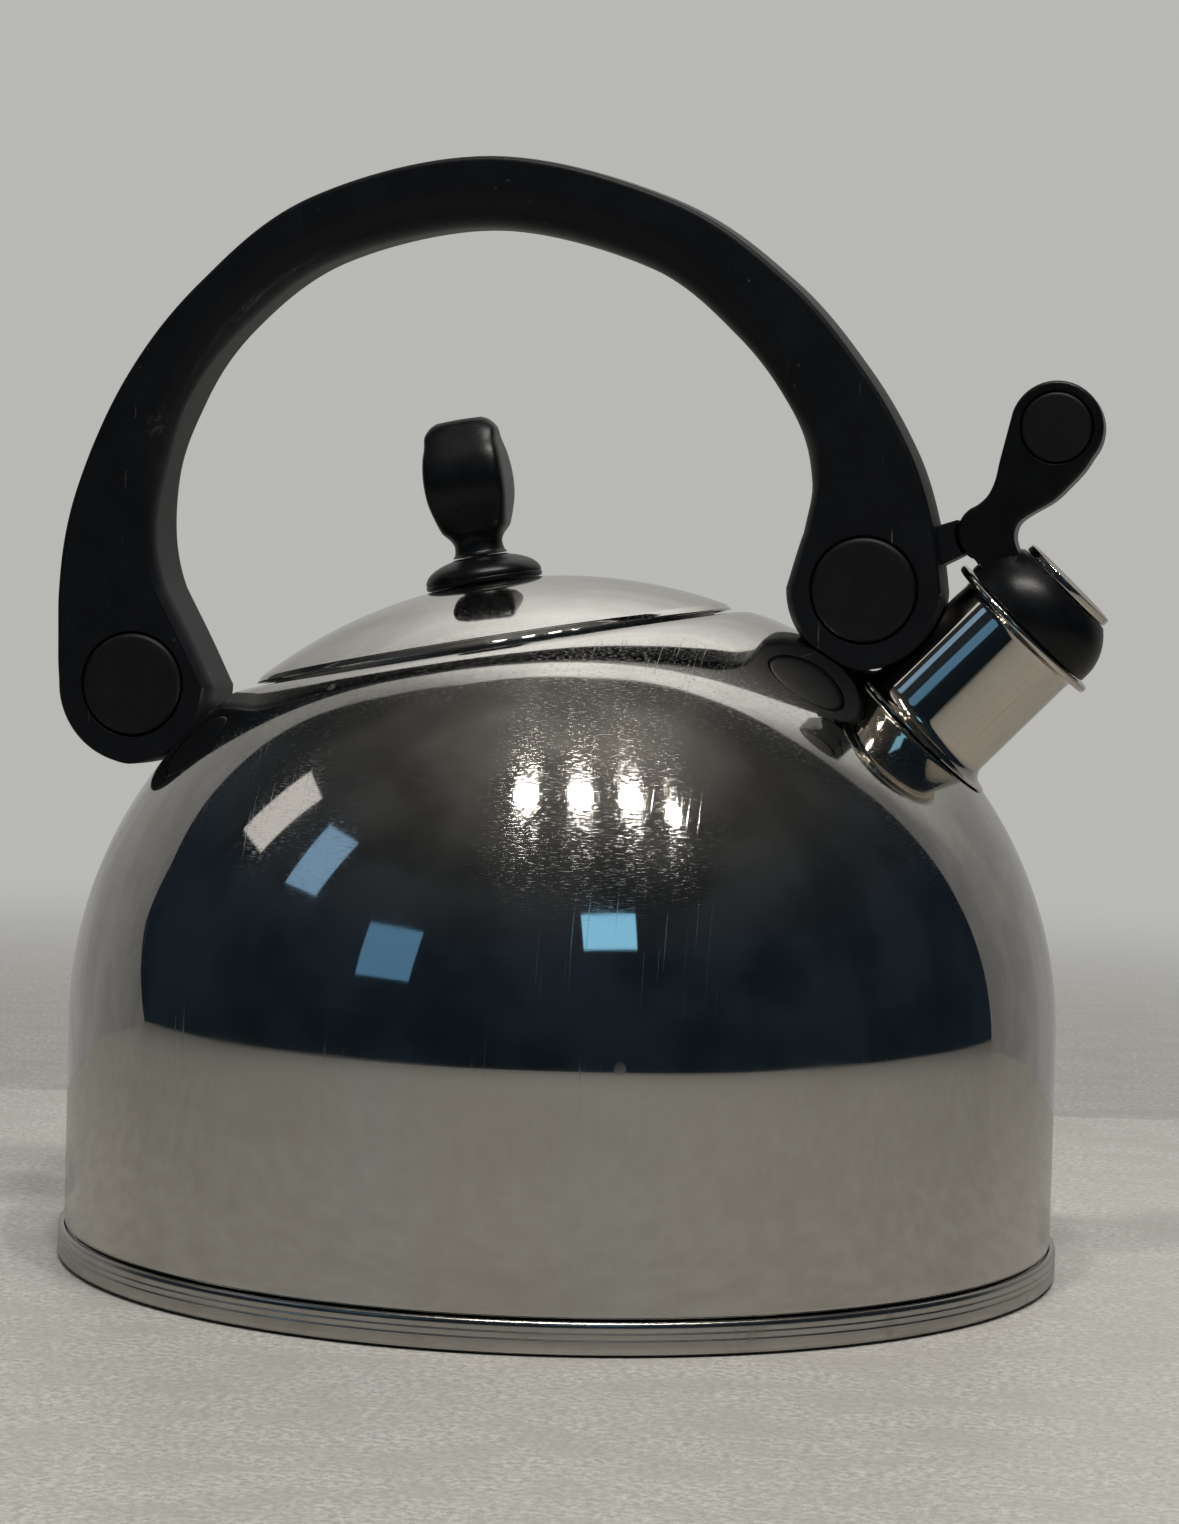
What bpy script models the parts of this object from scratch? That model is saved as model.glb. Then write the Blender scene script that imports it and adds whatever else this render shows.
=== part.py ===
"""Stovetop whistling kettle with a dome body, a lift-off lid, a fixed arch handle and a
spring-closed whistle cap on a thumb lever.

Metres, +Z up. The origin is the centre of the base's underside and +X points to the spout.
Every solid is one named object. Guides and cutters are hidden and drawn as wire.
"""
import math

import bmesh
import bpy
from mathutils import Matrix, Vector

# ---------------------------------------------------------------- driving dimensions
MM = 0.001
GAP = 0.3 * MM                     # left between pieces that touch
SHEET = 0.8 * MM                   # pressed steel

WALL_RADIUS = 110.0 * MM           # outside of the body's upright wall
WALL_TOP = 52.0 * MM               # where the wall starts to curve in
DOME_RADIUS = 128.0 * MM           # top of the body, a sphere
DOME_HEIGHT = 22.0 * MM            # height of that sphere's centre
SEAM_HEIGHT = 7.3 * MM             # lower edge of the body, above the base cap
BODY_SEGMENTS = 48
CLEARANCE_SEGMENTS = 112

BASE_RADIUS = 111.4 * MM
BASE_SHEET = 1.0 * MM

LID_TILT = math.radians(10.7)      # the filler opening leans back, away from the spout
LID_SHIFT = 3.7 * MM               # and its axis passes this far ahead of the dome's centre
RIM_LEVEL = 115.5 * MM             # opening's plane, measured from the dome's centre
RIM_BLEND = 1.2 * MM               # softness of the turned-over rim
FRONT_SWELL = 2.2 * MM             # the dome stands proud in front of the opening
SWELL_START = 62.0 * MM
SWELL_END = 96.0 * MM
OPENING_RADIUS = 50.6 * MM
NECK_DEPTH = 8.0 * MM

LID_LEVEL = 116.4 * MM             # lid's lower edge, measured from the dome's centre
LID_RADIUS = 53.7 * MM
LID_SPHERE = 110.0 * MM
LID_RISE = 14.5 * MM
SKIRT_RADIUS = 49.8 * MM
SKIRT_DEPTH = 9.0 * MM
LID_SEGMENTS = 44

COLLAR_RADIUS = 13.1 * MM
SCREW_RADIUS = 1.9 * MM
SCREW_HOLE = 2.3 * MM

HANDLE_HALF_DEPTH = 12.0 * MM
REAR_FOOT = (-98.5 * MM, 125.4 * MM)
FRONT_FOOT = (65.8 * MM, 151.2 * MM)
CAP_RADIUS = 11.4 * MM
CAP_SEAT = 9.4 * MM                # floor of a cap's recess, from the handle's middle plane
HEAD_SEAT = 6.2 * MM               # floor of the screw head's well

SPOUT_POINT = (88.7 * MM, 132.1 * MM)
SPOUT_RISE = math.radians(46.2)
SPOUT_RADIUS = 15.5 * MM
SPOUT_BORE = 14.7 * MM
MOUTH = 16.0 * MM                  # the mouth's flange, along the spout from SPOUT_POINT
MOUTH_RIM = 19.0 * MM              # radius of the mouth's flange
FOOT_FLANGE = -16.0 * MM
FOOT_RIM = 19.4 * MM               # radius of the flared foot
FOOT_FLARE = 3.9 * MM
SPOUT_SEGMENTS = 36

PIVOT = (91.7 * MM, 164.3 * MM)
PIN_RADIUS = 1.25 * MM
PIN_BORE = 1.35 * MM
LEVER_HALF_WIDTH = 7.5 * MM
TONGUE_HALF_WIDTH = 3.7 * MM
TONGUE_RADIUS = 3.8 * MM
FORK_HALF_WIDTH = 4.1 * MM
KNUCKLE_RADIUS = 6.4 * MM
THUMB_CENTRE = (14.3 * MM, 23.2 * MM)   # from the pivot
THUMB_RADIUS = 10.1 * MM
THUMB_CAP_RADIUS = 7.6 * MM
THUMB_CAP_SEAT = 5.6 * MM
SPRING_POCKET = 4.6 * MM
SPRING_HALF_WIDTH = 1.8 * MM
HOUSING_BASE = MOUTH + 1.1 * MM    # whistle housing's flat end, along the spout
CHAMBER_RADIUS = 12.4 * MM
SLEEVE_RADIUS = 11.3 * MM
SOUND_HOLE = 2.5 * MM

# ---------------------------------------------------------------- frames
LID_FRAME = (Matrix.Translation((LID_SHIFT, 0.0, DOME_HEIGHT))
             @ Matrix.Rotation(-LID_TILT, 4, "Y"))
SPOUT_FRAME = (Matrix.Translation((SPOUT_POINT[0], 0.0, SPOUT_POINT[1]))
               @ Matrix.Rotation(math.pi / 2 - SPOUT_RISE, 4, "Y"))


def side_frame(centre, side):
    """Frame at a point (x, z) whose own +Z runs sideways: side -1 is -Y, side +1 is +Y."""
    turn = Matrix.Rotation(-side * math.pi / 2, 4, "X")
    return Matrix.Translation((centre[0], 0.0, centre[1])) @ turn


# ---------------------------------------------------------------- materials
def material(name, colour, roughness, metallic):
    mat = bpy.data.materials.new(name)
    mat.use_nodes = True
    shader = mat.node_tree.nodes["Principled BSDF"]
    shader.inputs["Base Color"].default_value = (*colour, 1.0)
    shader.inputs["Roughness"].default_value = roughness
    shader.inputs["Metallic"].default_value = metallic
    mat.diffuse_color = (*colour, 1.0)
    return mat


for old in list(bpy.data.objects):
    bpy.data.objects.remove(old, do_unlink=True)

POLISHED = material("polished_steel", (0.66, 0.66, 0.65), 0.06, 1.0)
SATIN = material("satin_steel", (0.60, 0.60, 0.59), 0.32, 1.0)
ALUMINIUM = material("aluminium", (0.72, 0.72, 0.73), 0.40, 1.0)
BAKELITE = material("black_bakelite", (0.012, 0.013, 0.016), 0.42, 0.0)
ZINC = material("zinc_steel", (0.52, 0.52, 0.50), 0.38, 1.0)
SPRING = material("spring_steel", (0.38, 0.38, 0.37), 0.35, 1.0)


# ---------------------------------------------------------------- mesh helpers
def add_object(name, bm, mat, frame=None, parent=None):
    """Turns a bmesh into a named object, outward facing and smooth on its round faces."""
    bmesh.ops.recalc_face_normals(bm, faces=bm.faces)
    mesh = bpy.data.meshes.new(name)
    bm.to_mesh(mesh)
    bm.free()
    mesh.shade_smooth()
    mesh.set_sharp_from_angle(angle=math.radians(32))
    obj = bpy.data.objects.new(name, mesh)
    bpy.context.collection.objects.link(obj)
    if mat:
        mesh.materials.append(mat)
    if frame:
        obj.matrix_world = frame
    if parent:
        obj.parent = parent
        obj.matrix_parent_inverse = parent.matrix_world.inverted()
    return obj


def make_cutter(name, bm, frame=None):
    obj = add_object(name, bm, None, frame)
    obj.hide_render = True
    obj.display_type = "WIRE"
    return obj


def boolean(obj, other, operation="DIFFERENCE"):
    step = obj.modifiers.new(other.name, "BOOLEAN")
    step.operation = operation
    step.solver = "EXACT"
    step.object = other


def empty(name, location):
    obj = bpy.data.objects.new(name, None)
    obj.location = location
    bpy.context.collection.objects.link(obj)
    bpy.context.view_layer.update()
    return obj


def turned(profile, segments, closed=True):
    """Spins (radius, height) points round +Z. An open profile starts and ends on the axis."""
    bm = bmesh.new()
    ring = [bm.verts.new((radius, 0.0, height)) for radius, height in profile]
    edges = [bm.edges.new(pair) for pair in zip(ring, ring[1:])]
    if closed:
        edges.append(bm.edges.new((ring[-1], ring[0])))
    bmesh.ops.spin(bm, geom=ring + edges, cent=(0, 0, 0), axis=(0, 0, 1),
                   angle=2 * math.pi, steps=segments, use_merge=True)
    bmesh.ops.remove_doubles(bm, verts=bm.verts, dist=0.001 * MM)
    return bm


def cylinder(radius, bottom, top, segments=32):
    return turned([(0, bottom), (radius, bottom), (radius, top), (0, top)], segments, closed=False)


def ring(inner, outer, bottom, top, segments=32):
    return turned([(inner, bottom), (outer, bottom), (outer, top), (inner, top)], segments)


def slab(outline, near, far):
    """Extrudes a closed (x, z) outline from y = near to y = far."""
    bm = bmesh.new()
    face = bm.faces.new([bm.verts.new((x, near, z)) for x, z in outline])
    grown = bmesh.ops.extrude_face_region(bm, geom=[face])
    moved = [item for item in grown["geom"] if isinstance(item, bmesh.types.BMVert)]
    bmesh.ops.translate(bm, verts=moved, vec=(0.0, far - near, 0.0))
    return bm


def bevelled(bm, width, segments=2, angle=math.radians(50)):
    """Rounds the edges of a bmesh that are sharper than the angle."""
    sharp = [edge for edge in bm.edges
             if len(edge.link_faces) == 2 and edge.calc_face_angle(0.0) > angle]
    bmesh.ops.recalc_face_normals(bm, faces=bm.faces)
    bmesh.ops.bevel(bm, geom=sharp, offset=width, segments=segments, profile=0.5, affect="EDGES")
    return bm


def lofted(rings):
    """Skins a run of equal rings of points and closes both ends."""
    bm = bmesh.new()
    rows = [[bm.verts.new(point) for point in points] for points in rings]
    for low, high in zip(rows, rows[1:]):
        for i in range(len(low)):
            j = (i + 1) % len(low)
            bm.faces.new((low[i], low[j], high[j], high[i]))
    bm.faces.new(reversed(rows[0]))
    bm.faces.new(rows[-1])
    return bm


def arc(centre, radius, start, end, steps):
    """Points (x, z) on an arc, both ends included; angles in degrees."""
    points = []
    for i in range(steps + 1):
        angle = math.radians(start + (end - start) * i / steps)
        points.append((centre[0] + radius * math.cos(angle), centre[1] + radius * math.sin(angle)))
    return points


def spline(values, position):
    """Catmull-Rom interpolation of a row of number tuples at a position from 0 to len - 1."""
    last = len(values) - 1
    i = min(int(position), last - 1)
    t = position - i
    before, start, end, after = (values[max(i - 1, 0)], values[i], values[i + 1],
                                 values[min(i + 2, last)])
    return tuple(0.5 * (2 * b + (c - a) * t + (2 * a - 5 * b + 4 * c - d) * t ** 2
                        + (3 * b - a - 3 * c + d) * t ** 3)
                 for a, b, c, d in zip(before, start, end, after))


def convex_outline(points):
    """The convex hull of (x, z) points, anticlockwise."""
    points = sorted(set(points))

    def half(run):
        chain = []
        for p in run:
            while len(chain) > 1:
                a, b = chain[-2], chain[-1]
                if (b[0] - a[0]) * (p[1] - a[1]) - (b[1] - a[1]) * (p[0] - a[0]) > 0:
                    break
                chain.pop()
            chain.append(p)
        return chain[:-1]

    return half(points) + half(points[::-1])


def smooth_step(value):
    value = min(max(value, 0.0), 1.0)
    return value * value * (3 - 2 * value)


# ---------------------------------------------------------------- body
def shoulder_radius():
    """Radius of the arc that joins the upright wall to the dome's sphere, tangent to both."""
    drop = WALL_TOP - DOME_HEIGHT
    return ((DOME_RADIUS ** 2 - WALL_RADIUS ** 2 - drop ** 2)
            / (2 * (DOME_RADIUS - WALL_RADIUS)))


SHOULDER = shoulder_radius()
SHOULDER_CENTRE = (WALL_RADIUS - SHOULDER, WALL_TOP)
SHOULDER_END = math.degrees(math.atan2(WALL_TOP - DOME_HEIGHT, SHOULDER_CENTRE[0]))


def body_profile(inset, shoulder_steps=7, dome_steps=8):
    """(radius, height) from the top of the wall's curve to the crown, moved in by inset."""
    curve = arc(SHOULDER_CENTRE, SHOULDER - inset, 0, SHOULDER_END, shoulder_steps)
    crown = arc((0.0, DOME_HEIGHT), DOME_RADIUS - inset, SHOULDER_END, 90, dome_steps)
    crown[-1] = (0.0, crown[-1][1])
    return curve + crown[1:]


def form_opening(bm, inset):
    """Swells the dome in front of the filler opening and flattens its rim to a tilted plane."""
    to_lid = LID_FRAME.inverted()
    for vert in bm.verts:
        if vert.co.z < WALL_TOP + 20 * MM:
            continue
        local = to_lid @ vert.co
        reach = math.hypot(local.x, local.y)
        facing = 0.5 + 0.5 * local.x / max(reach, MM)
        fade = 1 - smooth_step((reach - SWELL_START) / (SWELL_END - SWELL_START))
        local.z += FRONT_SWELL * facing * fade
        over = local.z - (RIM_LEVEL - inset(vert))
        local.z -= 0.5 * (over + math.sqrt(over * over + RIM_BLEND ** 2))
        vert.co = LID_FRAME @ local


def make_body():
    outer = [(WALL_RADIUS - SHEET, SEAM_HEIGHT), (WALL_RADIUS, SEAM_HEIGHT + SHEET)]
    outer += [(WALL_RADIUS, 0.5 * (WALL_TOP + SEAM_HEIGHT))] + body_profile(0.0)
    inner = [(WALL_RADIUS - 2 * SHEET, SEAM_HEIGHT)] + body_profile(SHEET)
    bm = turned(inner[::-1] + outer, BODY_SEGMENTS, closed=False)

    form_opening(bm, lambda vert: SHEET if is_inner(vert.co) else 0.0)
    body = add_object("body_shell", bm, POLISHED)
    hole = make_cutter("spout_hole", cylinder(SPOUT_BORE, -40 * MM, 0.0, 40), SPOUT_FRAME)
    boolean(body, hole)
    opening = make_cutter("opening_cutter", cylinder(OPENING_RADIUS, 95 * MM, 135 * MM, 48), LID_FRAME)
    boolean(body, opening)
    lip = ring(OPENING_RADIUS - 0.4 * MM, OPENING_RADIUS + 0.6 * MM, RIM_LEVEL - NECK_DEPTH,
               RIM_LEVEL - 0.75 * MM, 48)
    boolean(body, make_cutter("neck_flange", lip, LID_FRAME), "UNION")


def is_inner(point):
    """True for a point on the sheet's inner surface, judged from the nearer arc's centre."""
    reach = math.hypot(point.x, point.y)
    elevation = math.degrees(math.atan2(point.z - DOME_HEIGHT, reach))
    if elevation >= SHOULDER_END:
        return math.hypot(reach, point.z - DOME_HEIGHT) < DOME_RADIUS - 0.5 * SHEET
    across = math.hypot(reach - SHOULDER_CENTRE[0], point.z - SHOULDER_CENTRE[1])
    return across < SHOULDER - 0.5 * SHEET


def body_clearance():
    """A closed solid a gap larger than the body, for trimming what stands on the dome."""
    profile = [(0.0, 40 * MM), (WALL_RADIUS + GAP, 40 * MM)] + body_profile(-GAP, 18, 20)
    bm = turned(profile, CLEARANCE_SEGMENTS, closed=False)
    form_opening(bm, lambda vert: -GAP)
    return make_cutter("body_clearance", bm)


def make_base():
    groove = 0.25 * MM
    rim = [(BASE_RADIUS - 1.2 * MM, 0.0), (BASE_RADIUS - 0.3 * MM, 0.4 * MM), (BASE_RADIUS, 1.2 * MM)]
    for level in (3.6 * MM, 4.9 * MM):
        rim += [(BASE_RADIUS, level - groove), (BASE_RADIUS - groove, level),
                (BASE_RADIUS, level + groove)]
    rim += [(BASE_RADIUS - 0.1 * MM, 6.2 * MM), (BASE_RADIUS - 0.7 * MM, 7.0 * MM)]
    inside = BASE_RADIUS - 1.3 * MM
    profile = [(0.0, 0.0)] + rim + [(inside, 7.0 * MM), (inside, BASE_SHEET), (0.0, BASE_SHEET)]
    add_object("base_cap", turned(profile, BODY_SEGMENTS, closed=False), SATIN)
    spreader = cylinder(inside - GAP, BASE_SHEET + GAP, 6.7 * MM, BODY_SEGMENTS)
    add_object("heat_spreader", bevelled(spreader, 0.5 * MM, 1), ALUMINIUM)
    pan = cylinder(WALL_RADIUS - 2 * SHEET - GAP, 7.1 * MM, 8.0 * MM, BODY_SEGMENTS)
    add_object("floor_pan", pan, POLISHED)


# ---------------------------------------------------------------- lid
def lid_height(radius, inset=0.0):
    """Height of the lid's dome above the dome centre's plane, in the lid's frame."""
    sphere = LID_SPHERE - inset
    return LID_LEVEL + LID_RISE - LID_SPHERE + math.sqrt(sphere ** 2 - radius ** 2)


def make_lid(parent):
    edge = LID_RADIUS - 0.6 * MM
    outer = [(edge * i / 7, lid_height(edge * i / 7)) for i in range(8)]
    outer += [(LID_RADIUS - 0.1 * MM, LID_LEVEL + 0.5 * MM), (LID_RADIUS, LID_LEVEL + 0.25 * MM),
              (LID_RADIUS - 0.35 * MM, LID_LEVEL), (LID_RADIUS - 1.1 * MM, LID_LEVEL + 0.05 * MM)]
    under = edge - 0.8 * MM
    inner = [(under * i / 7, lid_height(under * i / 7, SHEET)) for i in range(7, -1, -1)]
    lid = add_object("lid_shell", turned(outer + inner, LID_SEGMENTS, closed=False), POLISHED,
                     LID_FRAME, parent)
    hole = cylinder(SCREW_HOLE, LID_LEVEL, LID_LEVEL + 20 * MM, 24)
    boolean(lid, make_cutter("lid_hole", hole, LID_FRAME))

    bottom = LID_LEVEL - SKIRT_DEPTH
    top = lid_height(SKIRT_RADIUS, SHEET) - GAP
    skirt = [(SKIRT_RADIUS - SHEET, top), (SKIRT_RADIUS - SHEET, bottom + 1.2 * MM),
             (SKIRT_RADIUS - 1.8 * MM, bottom + 0.3 * MM), (SKIRT_RADIUS - 1.2 * MM, bottom),
             (SKIRT_RADIUS, bottom + 1.0 * MM), (SKIRT_RADIUS, top)]
    add_object("lid_skirt", turned(skirt, LID_SEGMENTS), SATIN, LID_FRAME, parent)


def squircle(half_x, half_y, power, height, count=24):
    """A ring of points on a rounded rectangle at a height."""
    points = []
    for i in range(count):
        angle = 2 * math.pi * i / count
        c, s = math.cos(angle), math.sin(angle)
        reach = (abs(c) ** power + abs(s) ** power) ** (-1 / power)
        points.append((half_x * reach * c, half_y * reach * s, height))
    return points


# (height above the lid's edge, half width, half depth, squareness) up the knob's grip: a thick
# oval pad that stands across the kettle on a round neck
KNOB_SHAPE = ((20.5, 6.2, 6.2, 2.0), (21.3, 5.6, 5.6, 2.0), (23.1, 5.4, 5.3, 2.0),
              (24.5, 6.0, 5.4, 2.3), (25.7, 6.9, 5.9, 3.2), (26.7, 7.5, 6.2, 4.0),
              (29.9, 8.3, 7.3, 6.0), (33.0, 8.9, 8.3, 7.0), (36.3, 9.15, 8.8, 7.0),
              (39.6, 9.1, 8.5, 7.0), (42.9, 8.8, 7.3, 7.0), (45.9, 8.3, 5.4, 6.0),
              (48.3, 8.15, 3.9, 4.5), (50.1, 6.9, 2.6, 3.0), (51.0, 5.3, 1.4, 2.5))


def make_knob(parent):
    rings = [squircle(half_x * MM, half_y * MM, power, LID_LEVEL + height * MM)
             for height, half_x, half_y, power in KNOB_SHAPE]
    knob = add_object("lid_knob", lofted(rings), BAKELITE, LID_FRAME, parent)
    bore = cylinder(SCREW_HOLE, LID_LEVEL + 10 * MM, LID_LEVEL + 37 * MM, 24)
    boolean(knob, make_cutter("knob_bore", bore, LID_FRAME))

    rim = COLLAR_RADIUS
    seat = lid_height(rim) + GAP
    top = LID_LEVEL + 20.1 * MM
    collar = [(SCREW_HOLE, lid_height(SCREW_HOLE) + GAP), (0.5 * rim, lid_height(0.5 * rim) + GAP),
              (rim - 0.3 * MM, seat + 0.02 * MM), (rim, seat + 0.4 * MM), (rim, seat + 1.5 * MM),
              (rim - 0.5 * MM, seat + 2.5 * MM), (rim - 1.6 * MM, seat + 3.7 * MM),
              (rim - 3.2 * MM, seat + 4.8 * MM), (rim - 5.2 * MM, seat + 5.7 * MM),
              (6.3 * MM, top), (SCREW_HOLE, top)]
    add_object("knob_collar", turned(collar, 32), BAKELITE, LID_FRAME, parent)

    under = LID_LEVEL + LID_RISE - SHEET
    washer = ring(SCREW_HOLE, 6.0 * MM, under - 1.3 * MM, under - 0.5 * MM)
    add_object("knob_washer", washer, ZINC, LID_FRAME, parent)
    head_top = under - 1.3 * MM - GAP
    head = head_top - 2.4 * MM
    screw = [(0.0, head), (2.8 * MM, head), (3.8 * MM, head + 0.8 * MM), (3.8 * MM, head_top),
             (SCREW_RADIUS, head_top), (SCREW_RADIUS, LID_LEVEL + 35 * MM), (0.0, LID_LEVEL + 35 * MM)]
    add_object("knob_screw", turned(screw, 24, closed=False), ZINC, LID_FRAME, parent)


# ---------------------------------------------------------------- handle
# (x, z, half thickness, underside rounding) in millimetres along the arch's middle line
ARCH = ((REAR_FOOT[0] / MM, REAR_FOOT[1] / MM, 18.0, 1.8), (-104.5, 145.5, 12.7, 1.8),
        (-104.1, 166.0, 9.7, 2.2), (-95.8, 190.6, 7.5, 5.0), (-80.9, 211.0, 6.8, 7.5),
        (-57.1, 228.7, 7.4, 8.5), (-19.4, 237.0, 7.9, 9.0), (18.5, 228.3, 8.0, 8.5),
        (41.9, 212.1, 8.7, 7.0), (56.9, 194.1, 9.5, 4.5), (64.6, 177.6, 11.8, 2.2),
        (66.6, 164.0, 14.7, 1.8), (FRONT_FOOT[0] / MM, FRONT_FOOT[1] / MM, 17.4, 1.8))
ARCH_STEPS = 3                     # rings between two rows of ARCH
FOOT_STEPS = 6
OUTER_ROUND = 1.2 * MM
CROWN = 0.7 * MM


def arch_section(centre, along, half, rounding):
    """A ring across the arch: crowned outside, flat flanks, rounded underside."""
    outward = Vector((-along.z, 0.0, along.x))
    depth = HANDLE_HALF_DEPTH
    crown = min(CROWN, 0.15 * half)
    edge = min(OUTER_ROUND, 0.3 * half)
    under = min(rounding, 0.8 * (2 * half - crown - edge))
    flank = []
    for share in (0.0, 0.5, 1.0):
        turn = share * math.pi / 2
        flank.append((half - crown - edge + edge * math.cos(turn), depth - edge + edge * math.sin(turn)))
    for share in (0.0, 0.33, 0.67, 1.0):
        turn = share * math.pi / 2
        flank.append((-half + under - under * math.sin(turn), depth - under + under * math.cos(turn)))
    right = [(half, 0.0), (half - 0.25 * crown, 0.5 * (depth - edge))] + flank
    left = [(out, -side) for out, side in reversed(right[1:])]
    return [centre + outward * out + Vector((0.0, side, 0.0))
            for out, side in right + [(-half, 0.0)] + left]


def arch_direction(place):
    """The middle line's direction; it comes upright at both feet, so their round ends meet it."""
    last = len(ARCH) - 1
    before = spline(ARCH, max(place - 0.05, 0.0))
    after = spline(ARCH, min(place + 0.05, last))
    along = Vector((after[0] - before[0], 0.0, after[1] - before[1])).normalized()
    from_end = min(place, last - place)
    if from_end < 1:
        upright = Vector((0.0, 0.0, 1.0 if place < 1 else -1.0))
        along = upright.lerp(along, smooth_step(from_end)).normalized()
    return along


def foot_rings(centre, direction, radius):
    """Rings from a foot's centre to its round end, along the direction."""
    rings = []
    for i in range(1, FOOT_STEPS + 1):
        turn = math.radians(84.0) * i / FOOT_STEPS
        rings.append((centre + direction * radius * math.sin(turn), radius * math.cos(turn)))
    return rings


def make_arch():
    rings = []
    last = len(ARCH) - 1
    for i in range(last * ARCH_STEPS + 1):
        place = i / ARCH_STEPS
        x, z, half, rounding = (value * MM for value in spline(ARCH, place))
        rings.append((Vector((x, 0.0, z)), arch_direction(place), half, rounding))
    start, end = rings[0], rings[-1]
    lead_in = [(centre, start[1], half, start[3])
               for centre, half in reversed(foot_rings(start[0], -start[1], start[2]))]
    lead_out = [(centre, end[1], half, end[3]) for centre, half in foot_rings(end[0], end[1], end[2])]
    return lofted([arch_section(*row) for row in lead_in + rings + lead_out])


def foot_frame(foot):
    """Frame on a foot's centre whose +Z points away from the dome."""
    side = math.copysign(1.0, foot[0])
    away = Vector((foot[0] - side * SHOULDER_CENTRE[0], 0.0, foot[1] - SHOULDER_CENTRE[1]))
    lean = math.atan2(away.x, away.z)
    return (Matrix.Translation((foot[0], 0.0, foot[1])) @ Matrix.Rotation(lean, 4, "Y"))


def bracket_shape(grow):
    """An upside-down T, extruded along the dome: a pad on the dome with an upright tab."""
    pad, tab, width = 5.0 * MM + grow, 1.0 * MM + grow, 5.0 * MM + grow
    low, step, top = -22.0 * MM, -14.6 * MM + grow, 6.5 * MM + grow
    outline = [(-pad, low), (pad, low), (pad, step), (tab, step), (tab, top), (-tab, top),
               (-tab, step), (-pad, step)]
    bm = slab(outline, -width, width)
    bmesh.ops.rotate(bm, verts=bm.verts, cent=(0, 0, 0), matrix=Matrix.Rotation(math.pi / 2, 3, "Z"))
    return bm


def bolt_hole():
    """A cross hole with a well for the screw head and a seat for the round cap at both ends."""
    half = [(SCREW_HOLE, 0.0), (SCREW_HOLE, HEAD_SEAT), (4.3 * MM, HEAD_SEAT), (4.3 * MM, CAP_SEAT),
            (CAP_RADIUS + GAP, CAP_SEAT), (CAP_RADIUS + GAP, 14 * MM), (0.0, 14 * MM)]
    mirrored = [(radius, -height) for radius, height in reversed(half[1:])]
    return turned(mirrored + half[1:], 28, closed=False)


def pin_hole():
    """The hinge tongue's bore with the wider pocket for the spring in its middle."""
    half = [(SPRING_POCKET, 0.0), (SPRING_POCKET, SPRING_HALF_WIDTH), (PIN_BORE, SPRING_HALF_WIDTH),
            (PIN_BORE, 5 * MM), (0.0, 5 * MM)]
    mirrored = [(radius, -height) for radius, height in reversed(half[1:])]
    return turned(mirrored + half[1:], 28, closed=False)


def make_handle(clearance, lug_outline):
    handle = add_object("handle_grip", make_arch(), BAKELITE)
    block, tongue = lug_outline
    boolean(handle, make_cutter("hinge_block", slab(block, -LEVER_HALF_WIDTH, LEVER_HALF_WIDTH)), "UNION")
    boolean(handle, make_cutter("hinge_tongue", slab(tongue, -TONGUE_HALF_WIDTH, TONGUE_HALF_WIDTH)),
            "UNION")
    boolean(handle, clearance)
    boolean(handle, spout_clearance())
    for name, foot in (("rear", REAR_FOOT), ("front", FRONT_FOOT)):
        slot = make_cutter(name + "_slot", bracket_shape(0.35 * MM), foot_frame(foot))
        boolean(handle, slot)
        boolean(handle, make_cutter(name + "_bolt_hole", bolt_hole(), side_frame(foot, 1)))
    boolean(handle, make_cutter("tongue_bore", pin_hole(), side_frame(PIVOT, 1)))


def face_cap(radius, seat, face):
    """A round cover with a soft edge and a barely domed face."""
    return turned([(0.0, seat), (radius, seat),
                   (radius, face - 0.7 * MM), (radius - 0.7 * MM, face), (0.0, face + 0.1 * MM)],
                  28, closed=False)


def make_foot_fittings(clearance):
    for name, foot in (("rear", REAR_FOOT), ("front", FRONT_FOOT)):
        bracket = add_object(f"{name}_bracket", bracket_shape(0.0), SATIN, foot_frame(foot))
        boolean(bracket, clearance)
        hole = cylinder(SCREW_HOLE, -3 * MM, 3 * MM, 24)
        boolean(bracket, make_cutter(f"{name}_bracket_hole", hole, side_frame(foot, 1)))
        for word, side in (("near", -1), ("far", 1)):
            cap = face_cap(CAP_RADIUS, CAP_SEAT + GAP, HANDLE_HALF_DEPTH + 0.6 * MM)
            add_object(f"{name}_{word}_cap", cap, BAKELITE, side_frame(foot, side))
        under_head = HEAD_SEAT + GAP
        bolt = [(0.0, -under_head - 2.6 * MM), (SCREW_RADIUS, -under_head - 2.6 * MM),
                (SCREW_RADIUS, under_head), (3.8 * MM, under_head),
                (3.8 * MM, under_head + 1.8 * MM), (3.0 * MM, under_head + 2.5 * MM),
                (0.0, under_head + 2.5 * MM)]
        add_object(f"{name}_bolt", turned(bolt, 24, closed=False), ZINC, side_frame(foot, -1))
        nut = ring(SCREW_RADIUS + GAP, 3.9 * MM, under_head, under_head + 2.4 * MM, 6)
        add_object(f"{name}_nut", nut, ZINC, side_frame(foot, 1))


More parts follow.
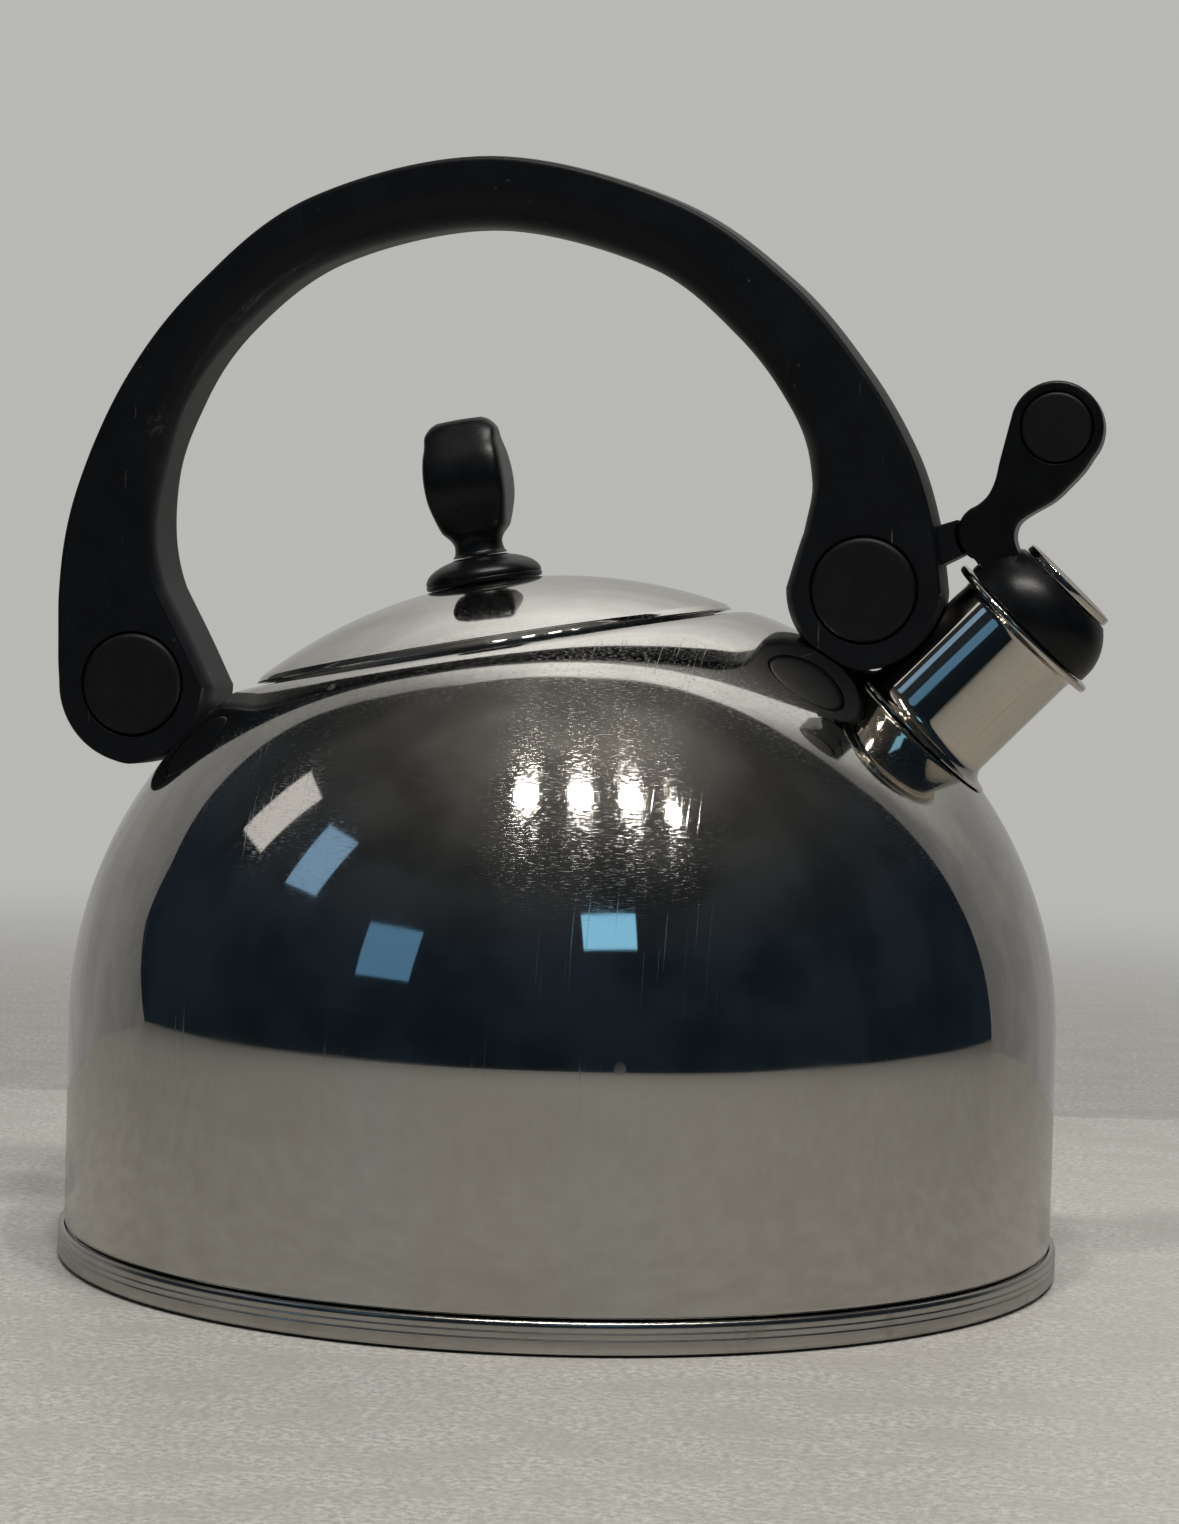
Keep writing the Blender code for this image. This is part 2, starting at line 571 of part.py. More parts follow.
# ---------------------------------------------------------------- spout
def spout_outline(grow=0.0):
    """The spout's outside, (radius, height) from its mouth flange down to its flared foot."""
    lip = MOUTH + 0.8 * MM
    rim = MOUTH_RIM + grow
    tube = SPOUT_RADIUS + grow
    points = [(rim - 0.3 * MM, lip + grow), (rim, lip - 0.3 * MM + grow), (rim, lip - 1.1 * MM - grow),
              (rim - 0.4 * MM, lip - 1.5 * MM - grow), (tube + 0.8 * MM, lip - 1.7 * MM - grow),
              (tube, lip - 2.4 * MM - grow)]
    for degrees in (0, 20, 40, 60, 80):
        turn = math.radians(degrees)
        points.append((tube + FOOT_FLARE * (1 - math.cos(turn)),
                       FOOT_FLANGE + 4.2 * MM - 3.2 * MM * math.sin(turn) + grow))
    foot = FOOT_RIM + grow
    points += [(foot, FOOT_FLANGE + 0.7 * MM + grow), (foot, FOOT_FLANGE - 8 * MM)]
    return points


def spout_clearance():
    """A closed solid a little larger than the spout, for the notch in the front foot."""
    outside = spout_outline(0.4 * MM)
    profile = [(0.0, outside[0][1])] + outside + [(0.0, outside[-1][1])]
    return make_cutter("spout_clearance", turned(profile, SPOUT_SEGMENTS, closed=False), SPOUT_FRAME)


def make_spout(clearance):
    outside = spout_outline()
    top = outside[0][1]
    profile = [(SPOUT_BORE, top - 0.2 * MM), (SPOUT_BORE + 0.6 * MM, top)] + outside
    profile += [(SPOUT_BORE, outside[-1][1])]
    tube = add_object("spout_tube", turned(profile, SPOUT_SEGMENTS), POLISHED, SPOUT_FRAME)
    boolean(tube, clearance)


# ---------------------------------------------------------------- whistle
def from_pivot(points):
    return [(PIVOT[0] + x * MM, PIVOT[1] + z * MM) for x, z in points]


def hinge_outlines():
    """Outlines of the fixed hinge: a wide root block and the tongue round the pin."""
    hollow = arc(PIVOT, KNUCKLE_RADIUS + 0.55 * MM, 224, 157, 7)
    block = [(73 * MM, 163 * MM), (73 * MM, 155.5 * MM), (80.5 * MM, 156.2 * MM)] + hollow
    knuckle = arc(PIVOT, TONGUE_RADIUS, -75, 105, 10)
    tongue = knuckle + [(74 * MM, 162.8 * MM), (74 * MM, 157.2 * MM)]
    return block, tongue


def lever_outline():
    """The lever's side view: housing end, knuckle, waist and round thumb pad."""
    pad = arc(THUMB_CENTRE, THUMB_RADIUS, -38, 172, 14)
    pad = [(x / MM, z / MM) for x, z in pad]
    waist = [(2.2, 15.5), (1.2, 11.0), (-1.2, 7.4)]
    knuckle = [(x / MM, z / MM) for x, z in arc((0.0, 0.0), KNUCKLE_RADIUS, 111, 248, 9)]
    web = [(1.0, -10.0), (4.5, -12.0), (8.6, -6.4)]
    front = [(6.4, -2.6), (6.0, 0.2), (7.2, 2.6), (10.0, 4.6), (14.2, 7.2), (17.6, 10.6)]
    return from_pivot(pad + waist + knuckle + web + front)


def housing_profile():
    shape = [(14.4, 0.0), (16.6, 0.0), (17.0, 0.4), (17.0, 2.4), (16.6, 4.9), (15.6, 7.3),
             (14.0, 9.5), (12.6, 10.9), (12.0, 11.4), (11.6, 11.4), (11.6, 1.3), (14.4, 1.3)]
    return [(radius * MM, HOUSING_BASE + height * MM) for radius, height in shape]


def make_lever(parent):
    plate = bevelled(slab(lever_outline(), -LEVER_HALF_WIDTH, LEVER_HALF_WIDTH), 1.2 * MM, 2)
    lever = add_object("whistle_lever", plate, BAKELITE, None, parent)
    slot_points = list(arc(PIVOT, TONGUE_RADIUS + 0.5 * MM, 0, 350, 35))
    for turn in range(0, 50, 6):
        angle = math.radians(196 - turn)
        far = (PIVOT[0] + 16 * MM * math.cos(angle), PIVOT[1] + 16 * MM * math.sin(angle))
        slot_points += arc(far, TONGUE_RADIUS + 0.7 * MM, 0, 330, 11)
    slot = slab(convex_outline(slot_points), -FORK_HALF_WIDTH, FORK_HALF_WIDTH)
    housing = make_cutter("whistle_housing", turned(housing_profile(), SPOUT_SEGMENTS), SPOUT_FRAME)
    chamber = cylinder(CHAMBER_RADIUS, MOUTH - 2 * MM, MOUTH + 12.2 * MM, SPOUT_SEGMENTS)
    boolean(lever, make_cutter("chamber_cutter", chamber, SPOUT_FRAME))
    boolean(lever, housing, "UNION")
    boolean(lever, make_cutter("fork_slot", slot))
    bore = cylinder(PIN_BORE, -6.4 * MM, 9 * MM, 24)
    boolean(lever, make_cutter("lever_bore", bore, side_frame(PIVOT, 1)))
    thumb = (PIVOT[0] + THUMB_CENTRE[0], PIVOT[1] + THUMB_CENTRE[1])
    for word, side in (("near", -1), ("far", 1)):
        seat = cylinder(THUMB_CAP_RADIUS + GAP, THUMB_CAP_SEAT, 10 * MM, 28)
        boolean(lever, make_cutter(f"thumb_{word}_seat", seat, side_frame(thumb, side)))
        cap = face_cap(THUMB_CAP_RADIUS, THUMB_CAP_SEAT + GAP, LEVER_HALF_WIDTH + 0.3 * MM)
        add_object(f"thumb_{word}_cap", cap, BAKELITE, side_frame(thumb, side), parent)


def make_whistle(parent):
    base = HOUSING_BASE
    inner = ring(SOUND_HOLE, 14.1 * MM, base + 0.1 * MM, base + 0.9 * MM, SPOUT_SEGMENTS)
    add_object("whistle_inner_plate", inner, SATIN, SPOUT_FRAME, parent)
    sleeve = ring(SLEEVE_RADIUS - 0.6 * MM, SLEEVE_RADIUS, base + 1.3 * MM, base + 11.3 * MM,
                  SPOUT_SEGMENTS)
    add_object("whistle_sleeve", sleeve, SATIN, SPOUT_FRAME, parent)
    low, high = base + 11.7 * MM, base + 13.5 * MM
    outer = [(SOUND_HOLE, low), (11.3 * MM, low), (11.8 * MM, low + 0.35 * MM),
             (11.8 * MM, high - 0.35 * MM), (11.4 * MM, high), (SOUND_HOLE, high)]
    plate = turned(outer, SPOUT_SEGMENTS)
    add_object("whistle_outer_plate", plate, POLISHED, SPOUT_FRAME, parent)


def make_pin_and_spring(parent):
    pin = [(0.0, -6.2 * MM), (0.9 * MM, -6.2 * MM), (PIN_RADIUS, -5.8 * MM),
           (PIN_RADIUS, 6.9 * MM), (0.9 * MM, 7.3 * MM), (0.0, 7.3 * MM)]
    add_object("pivot_pin", turned(pin, 24, closed=False), ZINC, side_frame(PIVOT, 1))

    coil, wire, turns, pitch, reach = 2.1 * MM, 0.35 * MM, 3.5, 0.8 * MM, 1.9 * MM
    per_turn, sides = 9, 6
    rings = []
    for i in range(-1, int(turns * per_turn) + 2):
        step = min(max(i, 0), int(turns * per_turn))
        angle = 2 * math.pi * step / per_turn
        radial = Vector((math.cos(angle), math.sin(angle), 0.0))
        along = Vector((-math.sin(angle), math.cos(angle), 0.06)).normalized()
        centre = radial * coil + Vector((0.0, 0.0, pitch * (step / per_turn - turns / 2)))
        centre += along * reach * (i - step)
        across = along.cross(radial)
        rings.append([centre + wire * (radial * math.cos(2 * math.pi * k / sides)
                                       + across * math.sin(2 * math.pi * k / sides))
                      for k in range(sides)])
    add_object("return_spring", lofted(rings), SPRING, side_frame(PIVOT, 1), parent)


# ---------------------------------------------------------------- assembly
def main():
    lid_axis = empty("lid_axis", LID_FRAME @ Vector((0.0, 0.0, LID_LEVEL)))
    lever_axis = empty("lever_axis", (PIVOT[0], 0.0, PIVOT[1]))
    clearance = body_clearance()
    make_body()
    make_base()
    make_lid(lid_axis)
    make_knob(lid_axis)
    make_handle(clearance, hinge_outlines())
    make_foot_fittings(clearance)
    make_spout(clearance)
    make_lever(lever_axis)
    make_whistle(lever_axis)
    make_pin_and_spring(lever_axis)


main()
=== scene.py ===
"""Looks of a stovetop whistling kettle: mirror-polished body, lid and spout, ringed base,
satin black handle, knob and whistle lever, on a plain pale floor under a row of soft lamps."""
import math

import bmesh
import bpy
from mathutils import Matrix, Vector


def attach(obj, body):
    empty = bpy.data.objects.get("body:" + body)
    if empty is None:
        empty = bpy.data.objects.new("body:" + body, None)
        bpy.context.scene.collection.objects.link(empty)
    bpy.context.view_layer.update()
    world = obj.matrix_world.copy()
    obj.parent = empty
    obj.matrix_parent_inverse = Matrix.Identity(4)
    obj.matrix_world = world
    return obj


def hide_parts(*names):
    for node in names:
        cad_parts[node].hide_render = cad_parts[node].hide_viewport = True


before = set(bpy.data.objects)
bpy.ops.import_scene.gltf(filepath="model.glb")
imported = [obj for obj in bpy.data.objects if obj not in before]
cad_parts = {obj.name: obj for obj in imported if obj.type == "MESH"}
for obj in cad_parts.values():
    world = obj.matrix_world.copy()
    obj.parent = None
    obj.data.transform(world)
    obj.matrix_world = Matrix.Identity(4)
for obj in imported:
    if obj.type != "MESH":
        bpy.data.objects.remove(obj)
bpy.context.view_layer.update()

MM = 0.001
GAP = 0.3 * MM
SHEET = 0.8 * MM

# ------------ sizes shared with the frame
WALL_RADIUS = 110.0 * MM
WALL_TOP = 52.0 * MM
DOME_RADIUS = 128.0 * MM
DOME_HEIGHT = 22.0 * MM
SEAM_HEIGHT = 7.3 * MM
BASE_RADIUS = 111.4 * MM
BASE_HEIGHT = 7.0 * MM
BASE_SHEET = 1.0 * MM
LID_TILT = math.radians(10.7)
LID_SHIFT = 3.7 * MM
RIM_LEVEL = 115.5 * MM
RIM_BLEND = 1.2 * MM
FRONT_SWELL = 2.2 * MM
SWELL_START, SWELL_END = 62.0 * MM, 96.0 * MM
OPENING_RADIUS = 50.6 * MM
LID_LEVEL = 116.4 * MM
LID_RADIUS = 53.7 * MM
LID_SPHERE = 110.0 * MM
LID_RISE = 14.5 * MM
SKIRT_RADIUS = 49.8 * MM
SKIRT_DEPTH = 9.0 * MM
COLLAR_RADIUS = 13.1 * MM
SCREW_HOLE = 2.3 * MM
HALF_DEPTH = 12.0 * MM
REAR_FOOT = (-98.5 * MM, 125.4 * MM)
FRONT_FOOT = (65.8 * MM, 151.2 * MM)
CAP_RADIUS = 11.4 * MM
CAP_SEAT = 9.4 * MM
HEAD_SEAT = 6.2 * MM
SPOUT_POINT = (88.7 * MM, 132.1 * MM)
SPOUT_RISE = math.radians(46.2)
SPOUT_RADIUS = 15.5 * MM
SPOUT_BORE = 14.7 * MM
MOUTH = 16.0 * MM
MOUTH_RIM = 19.0 * MM
FOOT_FLANGE = -16.0 * MM
FOOT_RIM = 19.4 * MM
FOOT_FLARE = 3.9 * MM
PIVOT = (91.7 * MM, 164.3 * MM)
PIN_BORE = 1.35 * MM
LEVER_HALF = 7.5 * MM
TONGUE_HALF = 3.7 * MM
TONGUE_RADIUS = 3.8 * MM
FORK_HALF = 4.1 * MM
KNUCKLE_RADIUS = 6.4 * MM
THUMB_CENTRE = (14.3 * MM, 23.2 * MM)
THUMB_RADIUS = 10.1 * MM
THUMB_CAP_RADIUS = 7.6 * MM
THUMB_CAP_SEAT = 5.6 * MM
THUMB_POINT = (PIVOT[0] + THUMB_CENTRE[0], PIVOT[1] + THUMB_CENTRE[1])
SPRING_POCKET = 4.6 * MM
SPRING_HALF = 1.8 * MM
HOUSING_BASE = MOUTH + 1.1 * MM
CHAMBER_RADIUS = 12.4 * MM
SOUND_HOLE = 2.5 * MM

LID_FRAME = Matrix.Translation((LID_SHIFT, 0, DOME_HEIGHT)) @ Matrix.Rotation(-LID_TILT, 4, "Y")
SPOUT_FRAME = (Matrix.Translation((SPOUT_POINT[0], 0, SPOUT_POINT[1]))
               @ Matrix.Rotation(math.pi / 2 - SPOUT_RISE, 4, "Y"))


def side_frame(centre, side):
    """Frame at a point (x, z) whose own +Z runs sideways: side -1 is -Y, side +1 is +Y."""
    turn = Matrix.Rotation(-side * math.pi / 2, 4, "X")
    return Matrix.Translation((centre[0], 0.0, centre[1])) @ turn


# ------------ material nodes
MARKS_CENTRE = 20.0 * MM            # the dome's short ring marks lie round this height
MARKS_RADIUS = 120.0 * MM
MARKS_START, MARKS_FULL = 75.0 * MM, 100.0 * MM


class Nodes:
    """A short way to write a node tree: each call adds a node and returns its output."""

    def __init__(self, tree):
        self.tree = tree

    def put(self, socket, value):
        if isinstance(value, bpy.types.NodeSocket):
            self.tree.links.new(value, socket)
        elif value is not None:
            socket.default_value = value

    def add(self, kind, output=0, inputs=None, **settings):
        node = self.tree.nodes.new(kind)
        for name, value in settings.items():
            setattr(node, name, value)
        for name, value in (inputs or {}).items():
            self.put(node.inputs[name], value)
        return node.outputs[output]

    def math(self, operation, a, b, clamp=False):
        return self.add("ShaderNodeMath", inputs={0: a, 1: b}, operation=operation, use_clamp=clamp)

    def plus(self, a, b, clamp=False):
        return self.math("ADD", a, b, clamp)

    def times(self, a, b, clamp=False):
        return self.math("MULTIPLY", a, b, clamp)

    def vector(self, operation, a, b=None, output=0):
        inputs = {0: a} if b is None else {0: a, 1: b}
        return self.add("ShaderNodeVectorMath", output, inputs, operation=operation)

    def shade(self, **sockets):
        """Fills sockets of the Principled shader, such as Base_Color."""
        for name, value in sockets.items():
            self.put(self.tree.nodes["Principled BSDF"].inputs[name.replace("_", " ")], value)

    def coords(self):
        return self.add("ShaderNodeTexCoord", "Object")

    def part_of(self, vector, axis):
        return self.add("ShaderNodeSeparateXYZ", axis, {"Vector": vector})

    def scaled(self, vector, scale, rotation=(0, 0, 0)):
        return self.add("ShaderNodeMapping", inputs={"Vector": vector, "Scale": scale,
                                                     "Rotation": rotation})

    def noise(self, vector, scale, detail=2.0, roughness=0.5, distortion=0.0):
        return self.add("ShaderNodeTexNoise", "Fac", {"Vector": vector, "Scale": scale, "Detail": detail,
                                                      "Roughness": roughness, "Distortion": distortion})

    def ramp(self, value, low, high, out_low=0.0, out_high=1.0):
        """A smooth step from out_low to out_high while the value goes from low to high."""
        inputs = {"Value": value, "From Min": low, "From Max": high, "To Min": out_low, "To Max": out_high}
        return self.add("ShaderNodeMapRange", inputs=inputs, interpolation_type="SMOOTHSTEP")

    def mix(self, factor, a, b):
        """Colour a where the factor is 0 and colour b where it is 1."""
        node = self.tree.nodes.new("ShaderNodeMix")
        node.data_type = "RGBA"
        colour_a, colour_b = [s for s in node.inputs if s.type == "RGBA"]
        self.put(node.inputs[0], factor)
        self.put(colour_a, a)
        self.put(colour_b, b)
        return next(s for s in node.outputs if s.type == "RGBA")

    def bump(self, height, distance, strength=1.0, normal=None):
        inputs = {"Height": height, "Distance": distance, "Strength": strength}
        if normal:
            inputs["Normal"] = normal
        return self.add("ShaderNodeBump", inputs=inputs)

    def wrapped(self, vector, around, along):
        """(around, along) a dome turned about local Z, in cells per metre, for short ring marks."""
        x, y, z = [self.part_of(vector, axis) for axis in "XYZ"]
        angle = self.times(self.math("ARCTAN2", y, x), WALL_RADIUS * around)
        flat = self.vector("LENGTH", self.vector("MULTIPLY", vector, (1.0, 1.0, 0.0)), output="Value")
        rise = self.math("ARCTAN2", self.math("SUBTRACT", z, MARKS_CENTRE), flat)
        rise = self.times(rise, MARKS_RADIUS * along)
        return self.add("ShaderNodeCombineXYZ", inputs={"X": angle, "Y": rise})

    def turned(self, vector):
        """(radius, height, 0) of a point about the local Z axis, for lathe and polishing lines."""
        flat = self.vector("MULTIPLY", vector, (1.0, 1.0, 0.0))
        radius = self.vector("LENGTH", flat, output="Value")
        return self.add("ShaderNodeCombineXYZ", inputs={"X": radius, "Y": self.part_of(vector, "Z")})


def rgb(r, g, b):
    return (r, g, b, 1.0)


def new_material(name, colour, roughness, metallic, **sockets):
    """A material and its tree's node writer."""
    mat = bpy.data.materials.new(name)
    mat.use_nodes = True
    mat.diffuse_color = colour
    n = Nodes(mat.node_tree)
    n.shade(Base_Color=colour, Roughness=roughness, Metallic=metallic, **sockets)
    return mat, n


def polished_steel(name, wave=1.0, dirt=1.0, clean=(0.69, 0.675, 0.645), worn=(0.61, 0.59, 0.55)):
    """Mirror-polished stainless: short turning marks, hairline scratches, dried drops, smears."""
    mat, n = new_material(name, rgb(0.66, 0.645, 0.615), 0.05, 1.0, Anisotropic=0.9,
                          Anisotropic_Rotation=0.25)
    place = n.coords()
    lines = n.noise(n.turned(place), 5200.0, 2.0, 0.6)
    smear = n.noise(n.scaled(place, (1.0, 1.0, 2.2)), 34.0, 5.0, 0.62, 0.6)
    dash = n.noise(n.wrapped(place, 420.0, 7000.0), 1.0, 2.0, 0.6)
    height = n.part_of(place, "Z")
    dash = n.times(n.ramp(dash, 0.54, 0.68), n.ramp(height, MARKS_START, MARKS_FULL))
    scratches = None
    for turn, length, threshold in (((0.3, 0.2, 0.5), 26.0, 0.715), ((1.1, -0.5, 0.1), 34.0, 0.72),
                                    ((-0.6, 0.9, -0.8), 30.0, 0.725)):
        streak = n.noise(n.scaled(place, (2600.0, length, length), turn), 1.0, 1.0, 0.4, 0.15)
        line = n.ramp(streak, threshold, threshold + 0.03)
        scratches = line if scratches is None else n.math("MAXIMUM", scratches, line)
    scratches = n.times(scratches, n.ramp(n.noise(place, 24.0, 2.0), 0.45, 0.66))
    cell = n.add("ShaderNodeTexVoronoi", "Distance", {"Vector": place, "Scale": 62.0, "Randomness": 1.0})
    drops = n.times(n.ramp(cell, 0.10, 0.055), n.ramp(n.noise(place, 15.0, 1.0), 0.54, 0.60))
    film = n.ramp(smear, 0.44, 0.80, 0.0, 0.034 * dirt)
    rough = n.plus(film, n.times(lines, 0.010))
    rough = n.plus(rough, n.times(scratches, 0.11 * dirt))
    rough = n.plus(rough, n.times(drops, 0.14 * dirt))
    rough = n.plus(rough, n.times(dash, 0.18))
    tint = n.mix(n.ramp(smear, 0.40, 0.78, 0.0, 0.55 * dirt), rgb(*clean), rgb(*worn))
    tint = n.mix(n.times(drops, 0.35 * dirt), tint, rgb(0.78, 0.77, 0.75))
    n.shade(Base_Color=tint, Roughness=n.plus(rough, 0.022))
    swell = n.noise(n.scaled(place, (1.0, 1.0, 2.6)), 21.0, 1.0, 0.4)
    normal = n.bump(swell, 0.000075 * wave)
    normal = n.bump(lines, 0.0000011, 1.0, normal)
    normal = n.bump(scratches, -0.0000016, 1.0, normal)
    n.shade(Normal=normal, Tangent=n.add("ShaderNodeTangent", direction_type="RADIAL", axis="Z"))
    return mat


def brushed_steel(name, colour, roughness, lines):
    """Brushed round the local Z axis, with handling marks."""
    mat, n = new_material(name, rgb(*colour), roughness, 1.0, Anisotropic=0.6)
    place = n.coords()
    brush = n.noise(n.turned(place), lines, 3.0, 0.55)
    marks = n.noise(place, 90.0, 5.0, 0.65, 0.4)
    dark = tuple(0.72 * value for value in colour)
    grime = n.ramp(marks, 0.50, 0.78, 0.0, 0.7)
    shade = n.mix(n.ramp(brush, 0.35, 0.65, 0.0, 0.5), rgb(*colour), rgb(*dark))
    n.shade(Base_Color=n.mix(grime, shade, rgb(0.36, 0.33, 0.29)))
    rough = n.plus(n.times(brush, 0.16), n.times(grime, 0.16))
    n.shade(Roughness=n.plus(rough, roughness - 0.08), Normal=n.bump(brush, 0.000012, 0.8),
            Tangent=n.add("ShaderNodeTangent", direction_type="RADIAL", axis="Z"))
    return mat


def bakelite(name, scuffs=1.0, roughness=0.50, colour=(0.0026, 0.0036, 0.0062)):
    """Satin black moulding: fine grain, faint mottling, scratches, pale scuffs and dust."""
    mat, n = new_material(name, rgb(*colour), roughness, 0.0, Specular_IOR_Level=0.30)
    place = n.coords()
    grain = n.noise(place, 2300.0, 3.0, 0.6)
    mottle = n.noise(place, 130.0, 5.0, 0.68)
    worn = n.noise(place, 46.0, 4.0, 0.7, 1.4)
    scratch = n.noise(n.scaled(place, (900.0, 22.0, 60.0), (0.4, 0.7, 0.3)), 1.0, 2.0, 0.5, 0.3)
    scratch = n.times(n.ramp(scratch, 0.70, 0.75), n.ramp(worn, 0.46, 0.62))
    patch = n.times(n.ramp(n.noise(place, 34.0, 2.0), 0.66, 0.73),
                    n.ramp(n.noise(place, 620.0, 4.0, 0.8), 0.47, 0.62))
    dust = n.add("ShaderNodeTexVoronoi", "Distance", {"Vector": place, "Scale": 360.0, "Randomness": 1.0})
    dust = n.times(n.ramp(dust, 0.14, 0.07), n.ramp(n.noise(place, 70.0, 2.0), 0.60, 0.66))
    light = tuple(value * 1.5 + 0.001 for value in colour)
    shade = n.mix(n.ramp(mottle, 0.38, 0.72), rgb(*colour), rgb(*light))
    marks = n.math("MAXIMUM", n.times(scratch, 0.55), n.times(patch, 0.5))
    marks = n.math("MAXIMUM", marks, n.times(dust, 0.4))
    marks = n.times(marks, scuffs, clamp=True)
    n.shade(Base_Color=n.mix(marks, shade, rgb(0.16, 0.155, 0.15)))
    rough = n.plus(n.times(mottle, 0.10), n.times(marks, 0.3))
    n.shade(Roughness=n.plus(rough, roughness - 0.07, clamp=True))
    normal = n.bump(mottle, 0.00003, 0.3)
    normal = n.bump(grain, 0.000030, 0.9, normal)
    n.shade(Normal=n.bump(marks, 0.00001, 0.5, normal))
    return mat


def plain_metal(name, colour, roughness, line_scale, spot_scale, stretch=(1.0, 1.0, 1.0)):
    """Hardware: plated or rolled metal with grain along one direction and stain blooms."""
    mat, n = new_material(name, rgb(*colour), roughness, 1.0)
    place = n.coords()
    grain = n.noise(n.scaled(place, stretch), line_scale, 3.0, 0.65)
    bloom = n.noise(place, spot_scale, 4.0, 0.6, 0.5)
    dark = tuple(0.6 * value for value in colour)
    shade = n.mix(n.ramp(bloom, 0.45, 0.75, 0.0, 0.8), rgb(*colour), rgb(*dark))
    rough = n.plus(n.times(grain, 0.18), n.times(bloom, 0.14))
    n.shade(Base_Color=shade, Roughness=n.plus(rough, roughness - 0.16, clamp=True),
            Normal=n.bump(grain, 0.00001, 0.8))
    return mat


STEEL = polished_steel("mirror_steel")
STEEL_SMALL = polished_steel("mirror_steel_small", 0.4, 0.8, (0.70, 0.655, 0.59), (0.62, 0.575, 0.51))
BASE_STEEL = brushed_steel("ringed_base_steel", (0.62, 0.605, 0.575), 0.20, 4200.0)
INNER_STEEL = brushed_steel("satin_inner_steel", (0.56, 0.555, 0.54), 0.34, 1500.0)
BLACK = bakelite("handle_bakelite")
BLACK_CAP = bakelite("cap_bakelite", 1.3, 0.50, (0.0062, 0.0068, 0.0086))
BLACK_KNOB = bakelite("knob_bakelite", 0.6, 0.34, (0.0044, 0.0050, 0.0062))
ZINC = plain_metal("zinc_plate", (0.52, 0.52, 0.50), 0.38, 900.0, 260.0)
ALUMINIUM = plain_metal("rolled_aluminium", (0.70, 0.70, 0.71), 0.42, 420.0, 40.0, (1.0, 14.0, 14.0))
SPRING = plain_metal("drawn_spring_wire", (0.36, 0.355, 0.34), 0.36, 2400.0, 500.0)


# ------------ mesh helpers
CUT, JOIN = "DIFFERENCE", "UNION"


def bake(name, bm, at=None):
    """A plain object with a bmesh's faces turned outward."""
    bmesh.ops.recalc_face_normals(bm, faces=bm.faces)
    mesh = bpy.data.meshes.new(name)
    bm.to_mesh(mesh)
    bm.free()
    obj = bpy.data.objects.new(name, mesh)
    bpy.context.collection.objects.link(obj)
    if at:
        obj.matrix_world = at
        bpy.context.view_layer.update()
    return obj


def carve(obj, steps):
    """Applies a run of booleans (operation, bmesh, frame) to an object's mesh."""
    helpers = []
    for operation, bm, at in steps:
        helper = bake("helper", bm, at)
        step = obj.modifiers.new("step", "BOOLEAN")
        step.operation = operation
        step.solver = "EXACT"
        step.object = helper
        helpers.append(helper)
    graph = bpy.context.evaluated_depsgraph_get()
    mesh = bpy.data.meshes.new_from_object(obj.evaluated_get(graph))
    obj.modifiers.clear()
    old = obj.data
    obj.data = mesh
    bpy.data.meshes.remove(old)
    for helper in helpers:
        bpy.data.objects.remove(helper, do_unlink=True)


def add_piece(node, bm, mat, body, at=None, sharp=32, weighted=True, steps=()):
    """The shown piece that stands for a CAD node, carved by any boolean steps, on its body."""
    obj = bake(f"{node}_fine", bm, at)
    if steps:
        carve(obj, steps)
        obj.data.materials.clear()
    obj.data.materials.append(mat)
    obj.data.shade_smooth()
    obj.data.set_sharp_from_angle(angle=math.radians(sharp))
    if weighted:
        even = obj.modifiers.new("even_normals", "WEIGHTED_NORMAL")
        even.keep_sharp = True
        even.weight = 60
    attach(obj, body)
    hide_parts(node)


def turned(profile, segments, closed=True):
    """Spins (radius, height) points round +Z. An open profile starts and ends on the axis."""
    bm = bmesh.new()
    ring = [bm.verts.new((radius, 0.0, height)) for radius, height in profile]
    edges = [bm.edges.new(pair) for pair in zip(ring, ring[1:])]
    if closed:
        edges.append(bm.edges.new((ring[-1], ring[0])))
    bmesh.ops.spin(bm, geom=ring + edges, cent=(0, 0, 0), axis=(0, 0, 1),
                   angle=2 * math.pi, steps=segments, use_merge=True)
    bmesh.ops.remove_doubles(bm, verts=bm.verts, dist=0.001 * MM)
    return bm


def offsets(radius, height, steps):
    """(radius, height) points at steps in millimetres from one point."""
    return [(radius + out * MM, height + up * MM) for out, up in steps]


def cylinder(radius, bottom, top, segments):
    return turned([(0, bottom), (radius, bottom), (radius, top), (0, top)], segments, closed=False)


def slab(outline, near, far):
    """Extrudes a closed (x, z) outline from y = near to y = far."""
    bm = bmesh.new()
    face = bm.faces.new([bm.verts.new((x, near, z)) for x, z in outline])
    grown = bmesh.ops.extrude_face_region(bm, geom=[face])
    moved = [item for item in grown["geom"] if isinstance(item, bmesh.types.BMVert)]
    bmesh.ops.translate(bm, verts=moved, vec=(0.0, far - near, 0.0))
    return bm


def bevelled(bm, width, segments):
    """Rounds the edges of a bmesh that turn by more than 50 degrees."""
    bmesh.ops.recalc_face_normals(bm, faces=bm.faces)
    sharp = [edge for edge in bm.edges
             if len(edge.link_faces) == 2 and edge.calc_face_angle(0.0) > math.radians(50)]
    bmesh.ops.bevel(bm, geom=sharp, offset=width, segments=segments, profile=0.5, affect="EDGES",
                    clamp_overlap=True)
    return bm


